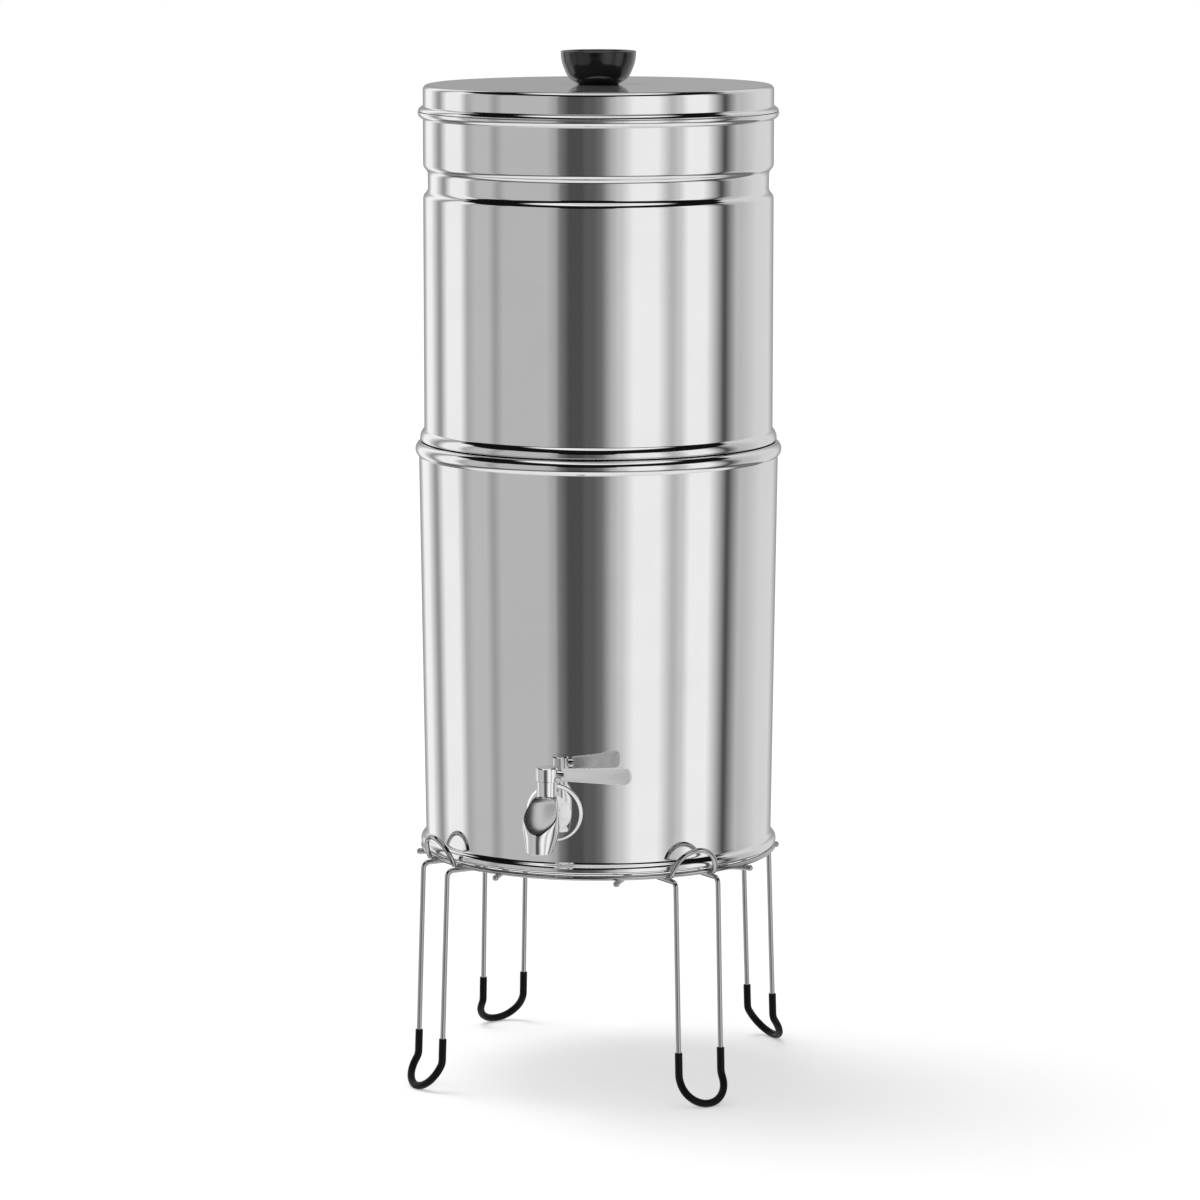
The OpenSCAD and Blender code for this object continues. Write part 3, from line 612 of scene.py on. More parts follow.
def new_material(name: str) -> tuple[bpy.types.Material, Graph, bpy.types.Node]:
    """Makes an empty node material with its shader.

    Returns:
        The material, its graph and its Principled shader.
    """
    material = bpy.data.materials.new(name)
    material.use_nodes = True
    material.node_tree.nodes.clear()
    graph = Graph(material.node_tree)
    shader = graph.add("ShaderNodeBsdfPrincipled")
    output = graph.add("ShaderNodeOutputMaterial")
    graph.feed(output, {0: shader.outputs[0]})
    return material, graph, shader


class Finish(Enum):
    """Every finish on the filter, named as the record's material slots unless it gives its slot.

    The numbers are the fields of Metal and Moulded in their order.
    """

    POLISHED_STEEL = Metal("polished_steel", 0.8, 0.034, 0.01, Lay.TURNED, 0.01)
    INNER_STEEL = Metal("inner_steel", 0.7, 0.24, 0.06, Lay.TURNED, 0.25, metallic=0.6)
    LINING_STEEL = Metal(
        "lining_steel", 0.78, 0.2, 0.05, Lay.TURNED, 0.2, metallic=0.55, slot="polished_steel")
    TAP_CHROME = Metal("tap_chrome", 0.84, 0.03, 0.008, Lay.MIRROR)
    # Near-white, almost matt copy of the tap chrome: a painted highlight on the bell and the flange's rim.
    BELL_PAINTED_HIGHLIGHT = Metal("bell_painted_highlight", 0.97, 0.34, 0.04, Lay.MIRROR, metallic=0.06, slot="tap_chrome")
    # Darker, blurred copy of the tap chrome: painted shade on the spout's forehead.
    BROW_PAINTED_SHADE = Metal("brow_painted_shade", 0.5, 0.2, 0.04, Lay.MIRROR, metallic=0.96, slot="tap_chrome")
    # Half-matt copy of the tap chrome: a painted sheen that keeps the chromed paddle evenly bright.
    LEVER_PAINTED_SHEEN = Metal("lever_painted_sheen", 0.8, 0.26, 0.04, Lay.MIRROR, metallic=0.5, slot="tap_chrome")
    # Lighter, partly matt copy of the polished steel: a painted highlight on the lid's level top.
    LID_TOP_PAINTED_LIGHT = Metal("lid_top_painted_light", 0.88, 0.034, 0.01, Lay.TURNED, 0.01, metallic=0.9, slot="polished_steel")
    STAND_WIRE = Metal("stand_wire", 0.47, 0.04, 0.02, Lay.DRAWN, 0.06)
    FASTENER_STEEL = Metal("fastener_steel", 0.62, 0.22, 0.08, Lay.TURNED, 0.2)
    FOOT_RUBBER = Moulded("foot_rubber", (0.004, 0.004, 0.004), 0.34, 0.1, 2600.0, 0.12, shine=0.14)
    SEAL_RUBBER = Moulded("seal_rubber", (0.02, 0.02, 0.02), 0.5, 0.1, 2200.0, 0.2)
    CLEAR_SILICONE = Moulded("clear_silicone", (0.82, 0.84, 0.84), 0.3, 0.08, 1200.0, 0.08, clear=0.35)
    CANDLE_CERAMIC = Moulded("candle_ceramic", (0.86, 0.84, 0.79), 0.78, 0.08, 1500.0, 0.5, pits=0.8)
    CANDLE_PLASTIC = Moulded("candle_plastic", (0.85, 0.85, 0.84), 0.36, 0.06, 1400.0, 0.1)
    KNOB_PLASTIC = Moulded(
        "knob_plastic", (0.003, 0.003, 0.0033), 0.14, 0.03, 1600.0, 0.012, coat=0.35, shine=0.42)


class Wardrobe:
    """Builds each finish once and dresses pieces with it."""

    def __init__(self) -> None:
        """Starts with nothing built."""
        self._built: dict[Finish, bpy.types.Material] = {}

    def _add(self, piece: Piece, finish: Finish) -> int:
        """Adds a finish to a piece, built if it is new, and returns its place in the list."""
        if finish not in self._built:
            self._built[finish] = finish.value.build()
        piece.data.materials.append(self._built[finish])
        return len(piece.data.materials) - 1

    def dress(self, piece: Piece, finish: Finish) -> None:
        """Puts a finish on a piece."""
        piece.data.materials.clear()
        self._add(piece, finish)

    def line(self, piece: Piece, finish: Finish) -> None:
        """Gives the faces that look towards the upright axis another finish."""
        index = self._add(piece, finish)
        for face in piece.data.polygons:
            out = Vector((face.center.x, face.center.y, 0.0))
            if out.length > 0 and face.normal.dot(out.normalized()) < TOWARDS_AXIS:
                face.material_index = index

    def edge(self, piece: Piece, finish: Finish, axis_z: float, radius: float) -> None:
        """Gives the outer edge of an upright disc another finish, here the near-white painted highlight on
        the flange's rim.

        Args:
            piece: The dressed disc.
            finish: The edge's finish.
            axis_z: Height of the disc's middle, in millimetres.
            radius: Where the edge starts, in millimetres.
        """
        index = self._add(piece, finish)
        for face in piece.data.polygons:
            spots = (piece.data.vertices[i].co for i in face.vertices)
            if all(math.hypot(spot.x, spot.z - axis_z * MM) > radius * MM for spot in spots):
                face.material_index = index

    def paint(
        self, piece: Piece, finish: Finish, steep: tuple[float, float], heights: tuple[float, float]
    ) -> None:
        """Gives the faces of one region of a dressed piece another finish, used here for lighter or darker
        copies of a metal as painted light and shade.

        Args:
            piece: The dressed piece.
            finish: The region's finish.
            steep: Lowest and highest rise of the faces' normals above level, in degrees.
            heights: Lowest and highest level of the faces, in millimetres.
        """
        index = self._add(piece, finish)
        for face in piece.data.polygons:
            rise = math.degrees(math.asin(max(-1.0, min(1.0, face.normal.z))))
            if steep[0] < rise < steep[1] and heights[0] < face.center.z / MM < heights[1]:
                face.material_index = index


class Body(Enum):
    """The moving bodies of the filter."""

    STAND = "stand"
    LOWER = "lower_chamber"
    LEVER = "tap_lever"
    UPPER = "upper_chamber"
    LID = "lid"


@dataclass
class Assembly:
    """A sub-assembly: pieces that are made, dressed and seated on one body."""

    wardrobe: Wardrobe
    body: Body

    def seat(self, piece: Piece, finish: Finish, *nodes: str) -> Piece:
        """Dresses a piece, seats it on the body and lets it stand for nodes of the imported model."""
        self.wardrobe.dress(piece, finish)
        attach(piece, self.body.value)
        if nodes:
            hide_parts(*nodes)
        LOG.info("%s: %s faces", piece.name, len(piece.data.polygons))
        return piece

    def keep(self, nodes: dict[str, Piece], finish: Finish, *names: str) -> None:
        """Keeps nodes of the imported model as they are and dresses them."""
        for name in names:
            smooth(nodes[name].data)
            nodes[name].data.materials.clear()
            self.wardrobe.dress(nodes[name], finish)
            LOG.info("%s: kept", name)


# ---------------------------------------------------------------- lower chamber


@dataclass
class LowerChamber(Assembly):
    """Tapered steel chamber with a flared foot and a rolled rim."""

    body: Body = Body.LOWER
    sheet: float = 1.0
    wall_r: float = 103.8
    taper: float = 3.25
    foot_h: float = 7.8
    foot_out: float = 3.1
    foot_turn: float = 2.4
    foot_round: float = 2.0
    foot_edge_h: float = 0.5
    rim_rad: float = 4.9
    rim_out: float = 2.09
    rim_wrap: float = 65.0
    hem_rad: float = 0.7
    hem_tuck: float = 12.0

    def outline(self) -> Points:
        """Outer face from the turned-in foot up to the rolled rim."""
        extent = Extent.of("lower_chamber_shell")
        foot_z, top_z = extent.low.z, extent.high.z
        foot_r, top_r = self.wall_r + self.foot_out, self.wall_r + self.taper
        drop = (self.rim_rad - self.sheet / 2) * math.sin(math.radians(self.rim_wrap))
        rim = Vector((top_r + self.rim_out - self.rim_rad, top_z - self.hem_rad - drop))
        start = -math.degrees(math.acos((top_r - rim.x) / self.rim_rad))
        edge = self.foot_round
        return joined(
            [Vector((foot_r - edge - self.foot_turn, foot_z))],
            arc((foot_r - edge, foot_z + edge), edge, -90, 0, steps=10),
            s_bend((foot_r, foot_z + edge + self.foot_edge_h), (self.wall_r, foot_z + self.foot_h), steps=12),
            arc(rim, self.rim_rad, start, self.rim_wrap, steps=22),
        )

    def shell_loop(self) -> Points:
        """The sheet's outline, with the hem rolled on its upper edge."""
        path = self.outline()
        inner = beside(path, self.sheet)
        end = (path[-1] + inner[-1]) / 2
        arm = path[-1] - inner[-1]
        start = math.degrees(math.atan2(arm.y, arm.x))
        hem = arc(end, self.hem_rad, start - self.hem_tuck, start + (180 + self.hem_tuck), steps=12)
        return path + hem + list(reversed(inner)) + round_edge(inner[0], path[0])

    def make(self, nodes: dict[str, Piece]) -> None:
        """Makes the shell and dresses the floor."""
        shell = lathe("lower_chamber_wall", self.shell_loop())
        self.seat(shell, Finish.POLISHED_STEEL, "lower_chamber_shell")
        self.wardrobe.line(shell, Finish.LINING_STEEL)
        self.keep(nodes, Finish.INNER_STEEL, "lower_chamber_floor")


# ---------------------------------------------------------------- upper chamber


def flare(centre: Vector, radius: float, wall_r: float, hollow: float, upwards: bool) -> tuple[float, Points]:
    """Hollow of a small radius where an arc that stands out meets an upright wall.

    Args:
        centre: Middle of the arc that stands out.
        radius: Its radius.
        wall_r: Radius of the wall.
        hollow: Radius of the hollow.
        upwards: True if the wall goes on above the arc.

    Returns:
        The arc's angle where the hollow starts, and the hollow's points from bottom to top.
    """
    across = wall_r + hollow - centre.x
    rise = math.sqrt((radius + hollow) ** 2 - across**2)
    swing = math.degrees(math.atan2(rise, across))
    if upwards:
        return swing, arc((wall_r + hollow, centre.y + rise), hollow, 180 + swing, 180, steps=8)
    return -swing, arc((wall_r + hollow, centre.y - rise), hollow, 180, 180 - swing, steps=8)


@dataclass(frozen=True)
class Bulge:
    """The arc that the lid's edge and the chamber's rim bead share, split by the gap between them."""

    wall_r: float = 103.8
    out: float = 3.05
    edge_h: float = 2.9
    bead_h: float = 4.25
    split_round: float = 0.35
    crease: float = 0.4

    @property
    def bead_top(self) -> float:
        """Height of the bead's flat top."""
        return Extent.of("upper_chamber_shell").high.z

    @property
    def edge_z(self) -> float:
        """Height of the underside of the lid's edge."""
        return Extent.of("lid_shell").low.z

    @property
    def half(self) -> float:
        """Half the height of bead, gap and edge."""
        return (self.edge_z + self.edge_h - self.bead_top + self.bead_h) / 2

    @property
    def radius(self) -> float:
        """Radius of the shared arc."""
        return (self.out**2 + self.half**2) / (2 * self.out)

    @property
    def centre(self) -> Vector:
        """Middle of the shared arc."""
        return Vector((self.wall_r + self.out - self.radius, self.bead_top - self.bead_h + self.half))

    def angle(self, z: float) -> float:
        """Angle of the arc's point at height z."""
        return math.degrees(math.asin((z - self.centre.y) / self.radius))

    def corner(self, z: float, start: float, end: float) -> Points:
        """Small rounding whose middle is at height z, inside the arc."""
        face = self.centre.x + self.radius * math.cos(math.radians(self.angle(z)))
        return arc((face - self.split_round, z), self.split_round, start, end, steps=4)

    def bead(self) -> Points:
        """Outer face of the bead, from the hollow under it to its flat top."""
        start, hollow = flare(self.centre, self.radius, self.wall_r, self.crease, upwards=False)
        z = self.bead_top - self.split_round
        face = arc(self.centre, self.radius, start, self.angle(z), steps=16)
        return joined(hollow, face, self.corner(z, 0, 90))

    def edge(self) -> Points:
        """Outer face of the lid's edge, from its underside to the hollow above it."""
        end, hollow = flare(self.centre, self.radius, self.wall_r, self.crease, upwards=True)
        z = self.edge_z + self.split_round
        face = arc(self.centre, self.radius, self.angle(z), end, steps=14)
        return joined(self.corner(z, -90, 0), face, hollow)


@dataclass
class UpperChamber(Assembly):
    """Straight steel chamber with a neck, a seat shoulder, a groove and a rim bead."""

    body: Body = Body.UPPER
    sheet: float = 1.0
    wall_r: float = 103.8
    shoulder_r: float = 106.3
    neck_r: float = 103.256
    neck_taper: float = 0.6
    neck_h: float = 21.0
    seat_fillet: float = 1.3
    seat_corner: float = 1.6
    shoulder_h: float = 7.0
    shoulder_fillet: float = 1.0
    groove_depth: float = 2.8
    groove_floor_h: float = 7.7
    groove_side_h: float = 6.5
    groove_drop: float = 41.0
    bulge: Bulge = Bulge()

    def outline(self) -> Points:
        """Outer face from the neck's bottom up to the foot of the rim bead."""
        extent = Extent.of("upper_chamber_shell")
        neck_z, top_z = extent.low.z, extent.high.z
        seat_z = neck_z + self.neck_h
        groove_z = top_z - self.groove_drop
        floor_r = self.wall_r - self.groove_depth
        corner, fillet = self.seat_corner, self.seat_fillet
        shoulder_z = seat_z + corner
        out, rise = self.shoulder_r - self.wall_r, self.shoulder_h - corner
        rad = (out * out + rise * rise) / (2 * out)
        middle = Vector((self.shoulder_r - rad, shoulder_z))
        swing, hollow = flare(middle, rad, self.wall_r, self.shoulder_fillet, upwards=True)
        low_end, high_end = groove_z - self.groove_floor_h / 2, groove_z + self.groove_floor_h / 2
        return joined(
            [Vector((self.neck_r - self.neck_taper, neck_z))],
            arc((self.neck_r + fillet, seat_z - fillet), fillet, 180, 90, steps=6),
            arc((self.shoulder_r - corner, shoulder_z), corner, -90, 0, steps=8),
            arc(middle, rad, 0, swing, steps=12),
            hollow,
            s_bend((self.wall_r, low_end - self.groove_side_h), (floor_r, low_end), steps=10),
            s_bend((floor_r, high_end), (self.wall_r, high_end + self.groove_side_h), steps=10),
        )

    def shell_loop(self) -> Points:
        """The sheet's outline, with the rim bead round its upper edge."""
        bead = self.bulge.bead()
        path = joined(self.outline(), bead[:1])
        inner = beside(path, self.sheet)
        lip = self.bulge.split_round
        mouth = arc((self.wall_r - self.sheet + lip, self.bulge.bead_top - lip), lip, 90, 180, steps=4)
        return joined(path, bead, mouth, list(reversed(inner))) + round_edge(inner[0], path[0])

    def make(self, nodes: dict[str, Piece]) -> None:
        """Makes the shell and dresses the floor, the candles and their fittings."""
        shell = lathe("upper_chamber_wall", self.shell_loop())
        self.seat(shell, Finish.POLISHED_STEEL, "upper_chamber_shell")
        self.wardrobe.line(shell, Finish.LINING_STEEL)
        self.keep(nodes, Finish.INNER_STEEL, "upper_chamber_floor")
        for side in ("left", "right"):
            self.keep(nodes, Finish.CANDLE_CERAMIC, f"filter_candle_{side}")
            self.keep(nodes, Finish.CANDLE_PLASTIC, f"candle_cup_{side}", f"candle_wing_nut_{side}")
            self.keep(nodes, Finish.CLEAR_SILICONE, f"candle_seal_{side}")


# ---------------------------------------------------------------- lid


@dataclass
class Lid(Assembly):
    """Steel lid with a thickened edge, an air vent and a bowl-shaped knob.

    The level part of the top, which gets a lighter, partly matt copy of the steel as a painted highlight, is
    told by level_slopes, the rise of its faces' normals, and by level_heights, measured from the top.
    """

    body: Body = Body.LID
    sheet: float = 1.0
    wall_r: float = 103.8
    corner: float = 3.0
    bulge: Bulge = Bulge()
    dimple_r: float = 5.5
    vent_r: float = 1.3
    vent_at: tuple[float, float] = (20.7, 14.2)
    vent_reach: float = 3.0
    knob_foot_r: float = 11.7
    knob_dish: float = 1.2
    knob_rim_w: float = 1.3
    knob_lip: float = 0.65
    knob_middle: float = 8.0
    dish_edge: tuple[tuple[float, float], ...] = ((0.5, 0.45), (1.2, 0.12), (2.4, 0.0))
    level_slopes: tuple[float, float] = (75.0, 90.1)
    level_heights: tuple[float, float] = (-0.7, 0.1)

    def shell_loop(self) -> Points:
        """Outline of the lid's sheet from the middle of its top to the thickened edge and back."""
        top_z = Extent.of("lid_shell").high.z
        face = joined(
            arc((self.wall_r - self.corner, top_z - self.corner), self.corner, 0, 90, steps=14),
            [Vector((0, top_z))],
        )
        inner = beside(face, self.sheet)
        inner[-1].x = 0.0
        lip = self.bulge.split_round
        mouth = arc((self.wall_r - self.sheet + lip, self.bulge.edge_z + lip), lip, 180, 270, steps=4)
        return joined(list(reversed(inner)), mouth, self.bulge.edge(), face)

    def vent_tools(self) -> list[Piece]:
        """Cutters for the dimple and the air vent."""
        top_z = Extent.of("lid_shell").high.z
        offset, angle = self.vent_at[0], math.radians(self.vent_at[1])
        spot = Vector((offset * math.cos(angle), offset * math.sin(angle), 0))
        depth = self.sheet / 2
        rad = (self.dimple_r**2 + depth**2) / (2 * depth)
        ball = arc((0, top_z - depth + rad), rad, -90, 90, steps=96)
        low, high = top_z - self.vent_reach, top_z + self.vent_reach
        hole = polyline((0, low), (self.vent_r, low), (self.vent_r, high), (0, high))
        place = Matrix.Translation(spot)
        dimple = lathe("dimple_tool", ball, segments=96, place=place)
        return [dimple, lathe("vent_tool", hole, segments=32, place=place)]

    def knob_loop(self) -> Points:
        """Outline of the knob from its foot over the rim to the middle of its dish."""
        extent = Extent.of("lid_knob")
        foot_z, height, rim_r = extent.low.z, extent.high.z - extent.low.z, extent.radius
        # How far up each place lies and how far out, as shares of the knob's height and swell.
        swell = [(0.0, 0.0), (0.04, 0.15), (0.09, 0.31), (0.16, 0.49), (0.24, 0.615), (0.34, 0.715),
                 (0.44, 0.79), (0.54, 0.865), (0.63, 0.92), (0.72, 0.957), (0.8, 0.98), (0.88, 0.993),
                 (0.965, 1.0)]
        wide = rim_r - self.knob_foot_r
        side = [Vector((self.knob_foot_r + wide * out, foot_z + height * up)) for up, out in swell]
        lip = arc((rim_r - self.knob_lip, foot_z + height - self.knob_lip), self.knob_lip, 0, 160, steps=8)
        dish_z = foot_z + height - self.knob_dish
        dish_r = rim_r - self.knob_rim_w
        dish = [Vector((dish_r - inset, dish_z + up)) for inset, up in self.dish_edge]
        dish += polyline((self.knob_middle, dish_z), (0, dish_z))
        return [Vector((0, foot_z))] + side + lip + dish

    def make(self, nodes: dict[str, Piece]) -> None:
        """Makes the shell and the knob and dresses the collar and the fasteners."""
        shell = lathe("lid_cover", self.shell_loop())
        for tool in self.vent_tools():
            carve(shell, tool)
        self.seat(shell, Finish.POLISHED_STEEL, "lid_shell")
        top_z = Extent.of("lid_shell").high.z
        low, high = self.level_heights
        # Paints the lighter copy of the steel on the level top: a painted highlight.
        self.wardrobe.paint(shell, Finish.LID_TOP_PAINTED_LIGHT, self.level_slopes, (top_z + low, top_z + high))
        self.seat(lathe("lid_knob_bowl", self.knob_loop(), segments=128), Finish.KNOB_PLASTIC, "lid_knob")
        self.keep(nodes, Finish.INNER_STEEL, "lid_collar")
        self.keep(nodes, Finish.FASTENER_STEEL, "knob_screw")
        self.keep(nodes, Finish.SEAL_RUBBER, "knob_screw_washer")


# ---------------------------------------------------------------- tap


@dataclass(frozen=True)
class Slice:
    """One level of the spout. Distances run forwards from the stem.

    Attributes:
        share: Share of the way down from the neck's foot to the outlet.
        half_width: Half the width at the widest place.
        middle: Where the widest place lies.
        nose: Length from the widest place to the front.
        back: Where the section ends behind the widest place.
        forehead: Where the slanted forehead cuts the front off.
        ease: Rounding of the forehead's edge.
        keel: How far the front draws to a keel, where 1 is a plain ellipse.
    """

    share: float
    half_width: float
    middle: float
    nose: float
    back: float
    forehead: float
    ease: float
    keel: float


@dataclass
class Tap(Assembly):
    """Chromed casting with a round flange, a bell, a neck and a spout with a slanted forehead.

    The forehead, which gets a darker copy of the chrome as painted shade, is told by brow_slopes, the rise
    of its faces' normals, and by brow_heights, measured from the outlet and from the neck's foot. The tip of
    the outlet's bore is bore_tip times as deep as the wide part of it.
    """

    body: Body = Body.LOWER
    shank_r: float = 8.0
    root_r: float = 5.6
    bell_r: float = 10.7
    bell_slopes: tuple[float, float] = (54.0, 24.0)
    neck_r: float = 5.9
    neck_l: float = 8.6
    crown: float = 26.0
    outlet_r: float = 7.7
    bore_r: float = 6.0
    bore_l: float = 9.0
    spout_reach: float = 17.5
    flange_t: float = 2.0
    flange_r: float = 16.8
    bevel: tuple[float, float] = (1.2, 1.3)
    washer_gap: float = 0.9
    wall_slope: float = 0.01433
    stem_play: float = 0.05
    bore_tip_r: float = 3.4
    bore_tip: float = 1.35
    overlap: float = 0.05
    brow_slopes: tuple[float, float] = (27.0, 80.0)
    brow_heights: tuple[float, float] = (8.0, 0.4)

    def levels(self) -> dict[str, float]:
        """Heights and depths of the tap, read from the frame."""
        flange, body = Extent.of("tap_flange"), Extent.of("tap_body")
        stem = Extent.of("tap_hub").middle
        return {
            "axis_z": flange.middle.z, "flange_back": flange.high.y, "flange_front": flange.low.y,
            "inner_y": body.high.y, "top_z": body.high.z, "outlet_z": body.low.z,
            "stem_y": stem.y, "spout_y": stem.y - self.spout_reach,
        }

    def forwards(self, start: float) -> Matrix:
        """Places a piece drawn up the Z axis on the shank's axis, from a depth towards the front."""
        return along_axis(Vector((0, start, self.levels()["axis_z"])), Vector((0, -1, 0)))

    def circle(self, z: float, centre: float, radius: float, sides: int = 96) -> Points:
        """Level circle about a point on the tap's middle plane."""
        angles = [2 * math.pi * i / sides for i in range(sides)]
        return [Vector((radius * math.sin(a), centre + radius * math.cos(a), z)) for a in angles]

    def section(self, z: float, cut: Slice, sides: int = 96) -> Points:
        """Level section of the spout: two half ellipses, cut off in front by the crowned forehead."""
        stem = self.levels()["stem_y"]
        points = []
        for i in range(sides):
            angle = 2 * math.pi * i / sides
            x, reach = cut.half_width * math.sin(angle), -math.cos(angle)
            if reach > 0:
                reach = reach**cut.keel
            out = cut.middle + reach * (cut.nose if reach > 0 else cut.middle - cut.back)
            limit = cut.forehead - x * x / (2 * self.crown)
            out = 0.5 * (out + limit - math.sqrt((out - limit) ** 2 + cut.ease**2))
            points.append(Vector((x, stem - out, z)))
        return points

    def spout(self) -> Piece:
        """Neck and spout in one smooth skin that ends in the outlet's bore."""
        at = self.levels()
        stem, spout, top, low = at["stem_y"], at["spout_y"], at["top_z"], at["outlet_z"]
        neck_foot = top - self.neck_l
        rows = [
            (0.0, 5.9, 0.0, 6.2, -6.0, 6.9, 0.4, 1.0), (0.05, 6.9, 3.5, 20.0, -6.3, 8.1, 0.7, 1.0),
            (0.1, 7.6, 7.0, 18.0, -6.5, 9.5, 1.0, 1.05), (0.2, 8.9, 12.0, 13.3, -6.5, 13.0, 1.4, 1.2),
            (0.3, 9.8, 15.0, 10.3, -6.5, 16.3, 1.6, 1.4), (0.4, 10.2, 16.0, 9.3, -6.5, 19.4, 1.6, 1.5),
            (0.5, 10.3, 16.0, 9.3, -6.5, 22.3, 1.6, 1.55), (0.6, 10.3, 16.0, 9.3, -6.4, 25.0, 1.6, 1.55),
            (0.7, 10.0, 16.0, 9.3, -4.5, 28.2, 1.6, 1.5), (0.8, 9.4, 16.2, 9.2, 0.0, 32.0, 1.4, 1.35),
            (0.9, 8.6, 16.8, 8.6, 5.5, 36.0, 1.2, 1.15), (1.0, 7.7, 17.5, 7.9, 9.8, 40.0, 1.0, 1.0),
        ]
        ease, lip_ease, bore = 0.3, 0.5, self.bore_r
        sections = [self.circle(top, stem, self.neck_r), self.circle(neck_foot + ease, stem, self.neck_r)]
        for row in spread(rows, steps=5):
            cut = Slice(*row)
            lift = lip_ease if cut.share == 1.0 else 0.0
            sections.append(self.section(neck_foot - (neck_foot - low) * cut.share + lift, cut))
        lip = self.outlet_r - lip_ease
        outlet = [(lip + 0.35, 0.15), (lip, 0.0), (bore + ease, 0.0), (bore, ease), (bore, self.bore_l),
                  (self.bore_tip_r, self.bore_l), (self.bore_tip_r, self.bore_tip * self.bore_l)]
        sections += [self.circle(low + up, spout, radius) for radius, up in outlet]
        return skin("tap_spout", sections)

    def shank(self) -> Piece:
        """Shank inside the wall and the slimmer root that carries the casting in front of the bell."""
        at = self.levels()
        start = at["flange_front"] - self.overlap
        inside, length = at["inner_y"] - start, start - at["stem_y"]
        chamfer, step_low, step_high = 0.8, 0.2, 0.6
        wide, slim = self.shank_r, self.root_r
        loop = polyline((0, -inside), (wide - chamfer, -inside), (wide, -inside + chamfer), (wide, step_low),
                        (slim, step_high), (slim, length), (0, length))
        return lathe("tap_shank_tool", loop, segments=96, place=self.forwards(start))

    def stem_bore(self) -> Piece:
        """Cutter for the bore that the stem turns in."""
        at, stem = self.levels(), Extent.of("tap_stem")
        low, high, radius = stem.low.z - self.stem_play, at["top_z"] + 1, stem.radius + self.stem_play
        loop = polyline((0, low), (radius, low), (radius, high), (0, high))
        place = Matrix.Translation(Vector((0, at["stem_y"], 0)))
        return lathe("tap_bore_tool", loop, segments=96, place=place)

    def bell(self) -> Piece:
        """Shallow dome that swells from the casting to the flange."""
        at = self.levels()
        steep, flat = self.bell_slopes
        radius = self.bell_r / math.sin(math.radians(steep))
        dome = arc((0, -radius * math.cos(math.radians(steep))), radius, 90 - steep, 90 - flat, steps=20)
        sunk, hole, foot = -0.5, self.root_r - 1, self.bell_r - 0.2
        loop = polyline((hole, sunk), (foot, sunk)) + dome + polyline((hole, dome[-1].y))
        return lathe("tap_bell", loop, segments=96, place=self.forwards(at["flange_front"]))

    def hug(self, piece: Piece) -> Piece:
        """Bends a flat piece so that it lies along the chamber's wall."""
        at = self.levels()
        wall = -at["flange_back"] - self.washer_gap
        for vertex in piece.data.vertices:
            radius = wall + self.wall_slope * (vertex.co.z / MM - at["axis_z"])
            vertex.co.y += (wall - math.sqrt(radius**2 - (vertex.co.x / MM) ** 2)) * MM
        piece.data.update()
        return piece

    def ring(self, name: str, outline: list[tuple[float, float]], back: float) -> Piece:
        """A ring round the shank that hugs the wall, from an outline of (radius, height above its back)."""
        return self.hug(lathe(name, polyline(*outline), segments=160, place=self.forwards(back)))

    def flange(self) -> Piece:
        """Flange with a bevelled rim, which make() paints near-white as a painted highlight."""
        hole, thick, wide = self.shank_r + self.overlap, self.flange_t, self.flange_r
        run, rise = self.bevel
        flat = wide - run - 0.25
        # The back edge, the bevel with its swollen middle and the start of the flat face.
        rim = [(hole, 0.0), (wide - 0.15, 0.0), (wide, 0.12), (wide, thick - rise),
               (wide - 0.5 * run, thick - 0.47 * rise), (wide - run, thick - 0.03), (flat, thick)]
        face = [(flat - (flat - hole) * i / 6, thick) for i in range(1, 7)]
        return self.ring("tap_flange_disc", rim + face, self.levels()["flange_back"])

    def washer(self) -> Piece:
        """Silicone washer between flange and wall."""
        chamfer = 0.1
        hole, wide, thick = self.shank_r + self.overlap, self.flange_r - 1.0, self.washer_gap - chamfer
        outline = [(hole, 0.0), (wide - chamfer, 0.0), (wide, chamfer), (wide, thick - chamfer),
                   (wide - chamfer, thick), (hole, thick)]
        back = self.levels()["flange_back"] + self.washer_gap - self.overlap
        return self.ring("tap_washer_ring", outline, back)

    def make(self, nodes: dict[str, Piece]) -> None:
        """Makes the casting, the flange and its washer and dresses the inner washers and the nut."""
        casting = self.spout()
        carve(casting, self.shank(), "UNION")
        carve(casting, self.stem_bore())
        casting.name = "tap_casting"
        self.seat(casting, Finish.TAP_CHROME, "tap_body")
        at = self.levels()
        # Paints the darker copy of the chrome on the forehead: painted shade.
        brow = (at["outlet_z"] + self.brow_heights[0], at["top_z"] - self.neck_l + self.brow_heights[1])
        self.wardrobe.paint(casting, Finish.BROW_PAINTED_SHADE, self.brow_slopes, brow)
        # The chromed bell and the flange's rim are painted near-white: painted highlight.
        self.seat(self.bell(), Finish.BELL_PAINTED_HIGHLIGHT)
        flange = self.seat(self.flange(), Finish.TAP_CHROME, "tap_flange")
        self.wardrobe.edge(flange, Finish.BELL_PAINTED_HIGHLIGHT, at["axis_z"], self.flange_r - self.bevel[0] - 0.1)
        self.seat(self.washer(), Finish.CLEAR_SILICONE, "tap_outer_washer")
        self.keep(nodes, Finish.CLEAR_SILICONE, "tap_inner_washer")
        self.keep(nodes, Finish.FASTENER_STEEL, "tap_steel_washer", "tap_lock_nut")


